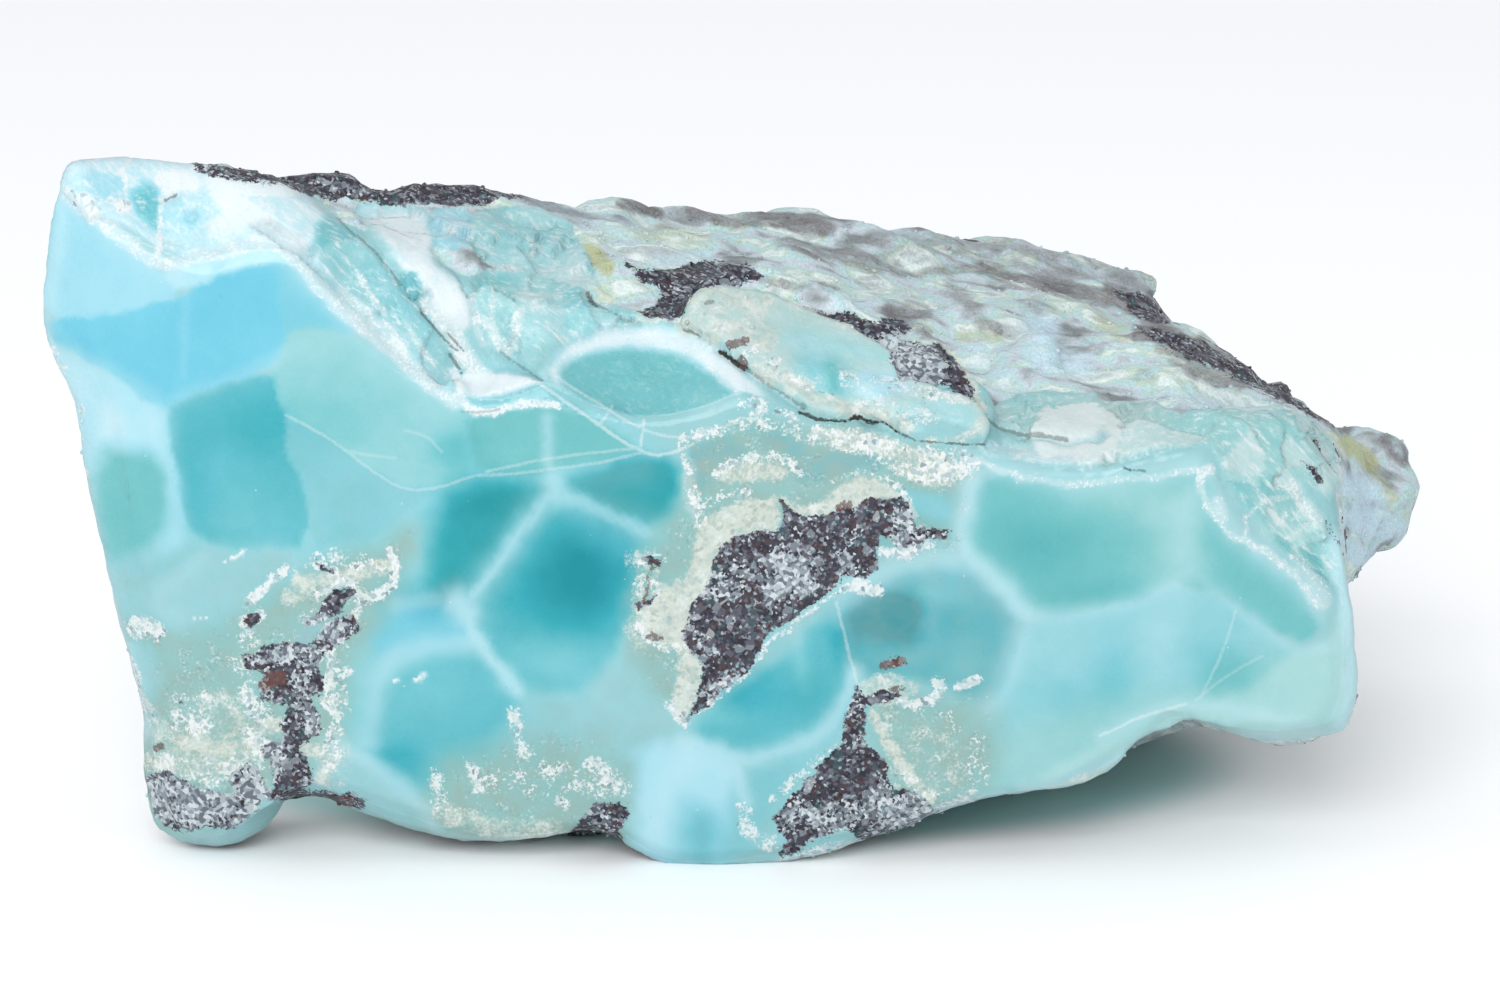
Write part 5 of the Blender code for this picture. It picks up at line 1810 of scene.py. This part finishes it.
@dataclass(frozen=True)
class Grains:
    """Small angular grains that stand on the broken surfaces, scattered by Geometry Nodes.

    Attributes:
        density: grains to a square metre where they lie thickest.
        smallest: the least width of a grain, in metres.
        largest: the greatest width of a grain, in metres.
        flattest: the least that a grain's sides are, as a share of its width.
        seed: what the random places, turns and sizes come from.
    """

    density: float = 1.3e6
    smallest: float = 0.25 * MM
    largest: float = 0.70 * MM
    flattest: float = 0.5
    seed: int = 7

    def build(self, stone: bpy.types.Object) -> bpy.types.Object:
        """Scatters the grains over the stone.

        Args:
            stone: the finished stone, whose mesh says where loose grains lie.

        Returns:
            The grains as one plain mesh object.
        """
        tree, inputs = self.tree(stone.data.materials[0])
        source = bpy.data.objects.new("grain_source", stone.data)
        bpy.context.scene.collection.objects.link(source)
        scatter = source.modifiers.new("Grains", "NODES")
        scatter.node_group = tree
        values = {"Density": self.density, "Smallest": self.smallest, "Largest": self.largest,
                  "Flattest": self.flattest, "Seed": self.seed}
        for name, value in values.items():
            scatter[inputs[name]] = value
        ready = source.evaluated_get(bpy.context.evaluated_depsgraph_get())
        mesh = bpy.data.meshes.new_from_object(ready)
        mesh.name = "grains"
        source.modifiers.remove(scatter)
        bpy.data.objects.remove(source)
        places = np.empty(len(mesh.vertices) * 3)
        mesh.vertices.foreach_get("co", places)
        low, high = (np.array(corner) for corner in CAD_BOX)
        mesh.vertices.foreach_set("co", np.clip(places.reshape(-1, 3), low, high).ravel())
        grains = bpy.data.objects.new("grains", mesh)
        bpy.context.scene.collection.objects.link(grains)
        return grains

    @staticmethod
    def tree(material: bpy.types.Material) -> tuple[bpy.types.NodeTree, dict[str, str]]:
        """Builds the node tree.

        Args:
            material: what the grains are made of.

        Returns:
            The tree, and the identifier of each of its inputs by name.
        """
        tree = bpy.data.node_groups.new("scattered_grains", "GeometryNodeTree")
        kinds = {"Geometry": "Geometry", "Density": "Float", "Smallest": "Float", "Largest": "Float"}
        kinds.update({"Flattest": "Float", "Seed": "Int"})
        made = {}
        for key, kind in kinds.items():
            made[key] = tree.interface.new_socket(key, in_out="INPUT", socket_type="NodeSocket" + kind)
        tree.interface.new_socket("Geometry", in_out="OUTPUT", socket_type="NodeSocketGeometry")

        def node(kind: str, settings: dict[str, object], links: dict[str, object]) -> bpy.types.Node:
            """Adds a node, with its settings, and each input linked or set."""
            added = tree.nodes.new(kind)
            for key, value in settings.items():
                setattr(added, key, value)
            for key, value in links.items():
                socket = live(added.inputs, key)
                if isinstance(value, bpy.types.NodeSocket):
                    tree.links.new(value, socket)
                else:
                    socket.default_value = value
            return added

        def live(sockets: bpy.types.bpy_prop_collection, name: str = "") -> bpy.types.NodeSocket:
            """Finds the first socket in use, of a name if one is given."""
            return next(socket for socket in sockets if socket.enabled and name in ("", socket.name))

        given = tree.nodes.new("NodeGroupInput").outputs
        loose = node("GeometryNodeInputNamedAttribute", {"data_type": "FLOAT"}, {"Name": "loose"})
        density = node("ShaderNodeMath", {"operation": "MULTIPLY"}, {})
        tree.links.new(loose.outputs["Attribute"], density.inputs[0])
        tree.links.new(given["Density"], density.inputs[1])
        links = {"Mesh": given["Geometry"], "Density": density.outputs[0], "Seed": given["Seed"]}
        points = node("GeometryNodeDistributePointsOnFaces", {}, links)
        ball = node("GeometryNodeMeshIcoSphere", {}, {"Radius": 0.5, "Subdivisions": 1})
        vector = {"data_type": "FLOAT_VECTOR"}
        turns = node("FunctionNodeRandomValue", vector, {"Max": (math.tau,) * 3, "Seed": given["Seed"]})
        sides = node("FunctionNodeRandomValue", vector, {"Max": (1.0, 1.0, 1.0), "Seed": given["Seed"]})
        tree.links.new(given["Flattest"], live(sides.inputs, "Min"))
        links = {"Min": given["Smallest"], "Max": given["Largest"], "Seed": given["Seed"]}
        width = node("FunctionNodeRandomValue", {"data_type": "FLOAT"}, links)
        size = node("ShaderNodeVectorMath", {"operation": "SCALE"}, {})
        tree.links.new(live(sides.outputs), size.inputs[0])
        tree.links.new(live(width.outputs), size.inputs["Scale"])
        turned = node("FunctionNodeEulerToRotation", {}, {"Euler": live(turns.outputs)})
        links = {"Points": points.outputs["Points"], "Instance": ball.outputs["Mesh"],
                 "Rotation": turned.outputs["Rotation"], "Scale": size.outputs["Vector"]}
        placed = node("GeometryNodeInstanceOnPoints", {}, links)
        real = node("GeometryNodeRealizeInstances", {}, {"Geometry": placed.outputs["Instances"]})
        links = {"Geometry": real.outputs["Geometry"], "Material": material}
        dressed = node("GeometryNodeSetMaterial", {}, links)
        end = tree.nodes.new("NodeGroupOutput")
        tree.links.new(dressed.outputs["Geometry"], end.inputs["Geometry"])
        return tree, {key: socket.identifier for key, socket in made.items()}


@dataclass(frozen=True)
class Studio:
    """The pale floor, with a painted shadow under the stone, and the soft light.

    Attributes:
        floor_half: half the floor's width.
        sky: the strength of the light from all round.
        sky_colour: that light's colour.
        key_power: the power of the softbox beside the camera, in watts.
        key_place: where it hangs, in metres.
        key_size: its width and height in metres.
        key_target: what it looks at, in metres.
        floor_colour: the paper's colour.
        shade: the colour of a painted shadow on the floor under the stone, where only light that came
            through the stone falls.
        shade_middle: the middle of that place.
        shade_half: its half width and half depth.
    """

    floor_half: float = 3000.0
    sky: float = 0.89
    sky_colour: Colour = (0.96, 0.98, 1.0)
    key_power: float = 5.6
    key_place: tuple[float, float, float] = (-0.15, -0.78, 0.46)
    key_size: tuple[float, float] = (0.5, 0.5)
    key_target: tuple[float, float, float] = (0.0, 0.0, 0.03)
    floor_colour: Colour = (0.955, 0.96, 0.965)
    shade: Colour = (0.42, 0.67, 0.65)
    shade_middle: tuple[float, float] = (-5.0, -1.0)
    shade_half: tuple[float, float] = (52.0, 27.0)

    def build(self) -> None:
        """Makes the floor, the lights, the world and the camera."""
        half = self.floor_half * MM
        mesh = bpy.data.meshes.new("floor")
        corners = [(-half, -half, 0), (half, -half, 0), (half, half, 0), (-half, half, 0)]
        mesh.from_pydata(corners, [], [(0, 1, 2, 3)])
        floor = bpy.data.objects.new("floor", mesh)
        bpy.context.scene.collection.objects.link(floor)
        material = bpy.data.materials.new("floor_paper")
        tree = Tree(material)
        # Painted shadow: the floor's colour darkens to a blue-green shade in an ellipse under the stone.
        middle, reach = (tuple(side * MM for side in pair) for pair in (self.shade_middle, self.shade_half))
        spot = tree.vector("SUBTRACT", {0: tree.coordinates(), 1: (*middle, 0.0)})
        away = tree.vector("LENGTH", {0: tree.vector("DIVIDE", {0: spot, 1: (*reach, 1.0)})}, "Value")
        colour = tree.mix(away.between(1.0, 0.8), self.floor_colour, self.shade)
        shader = tree.node("ShaderNodeBsdfPrincipled", {}, {"Base Color": colour, "Roughness": 0.8})
        tree.end(shader)
        mesh.materials.append(material)
        self.softbox()
        world = bpy.data.worlds.new("studio")
        world.use_nodes = True
        background = world.node_tree.nodes["Background"]
        background.inputs["Color"].default_value = (*self.sky_colour, 1.0)
        background.inputs["Strength"].default_value = self.sky
        bpy.context.scene.world = world
        bpy.context.scene.view_settings.view_transform = "Standard"
        SIGHT.place_camera()

    def softbox(self) -> None:
        """Adds the softbox, turned to the stone."""
        data = bpy.data.lights.new("softbox", "AREA")
        data.shape = "RECTANGLE"
        data.size, data.size_y = self.key_size
        data.energy = self.key_power
        lamp = bpy.data.objects.new("softbox", data)
        lamp.location = self.key_place
        towards = Vector(self.key_target) - Vector(self.key_place)
        lamp.rotation_euler = towards.to_track_quat("-Z", "Y").to_euler()
        bpy.context.scene.collection.objects.link(lamp)


def main() -> None:
    """Builds every piece in order."""
    logging.basicConfig(level=logging.INFO, format="%(name)s: %(message)s")
    stone = Stone().build()
    grains = Grains().build(stone)
    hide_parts(NODE)
    for piece in (stone, grains):
        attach(piece, "root")
        LOG.info("%s: %d triangles", piece.name, len(piece.data.polygons))
    Studio().build()


if __name__ == "__main__":
    main()
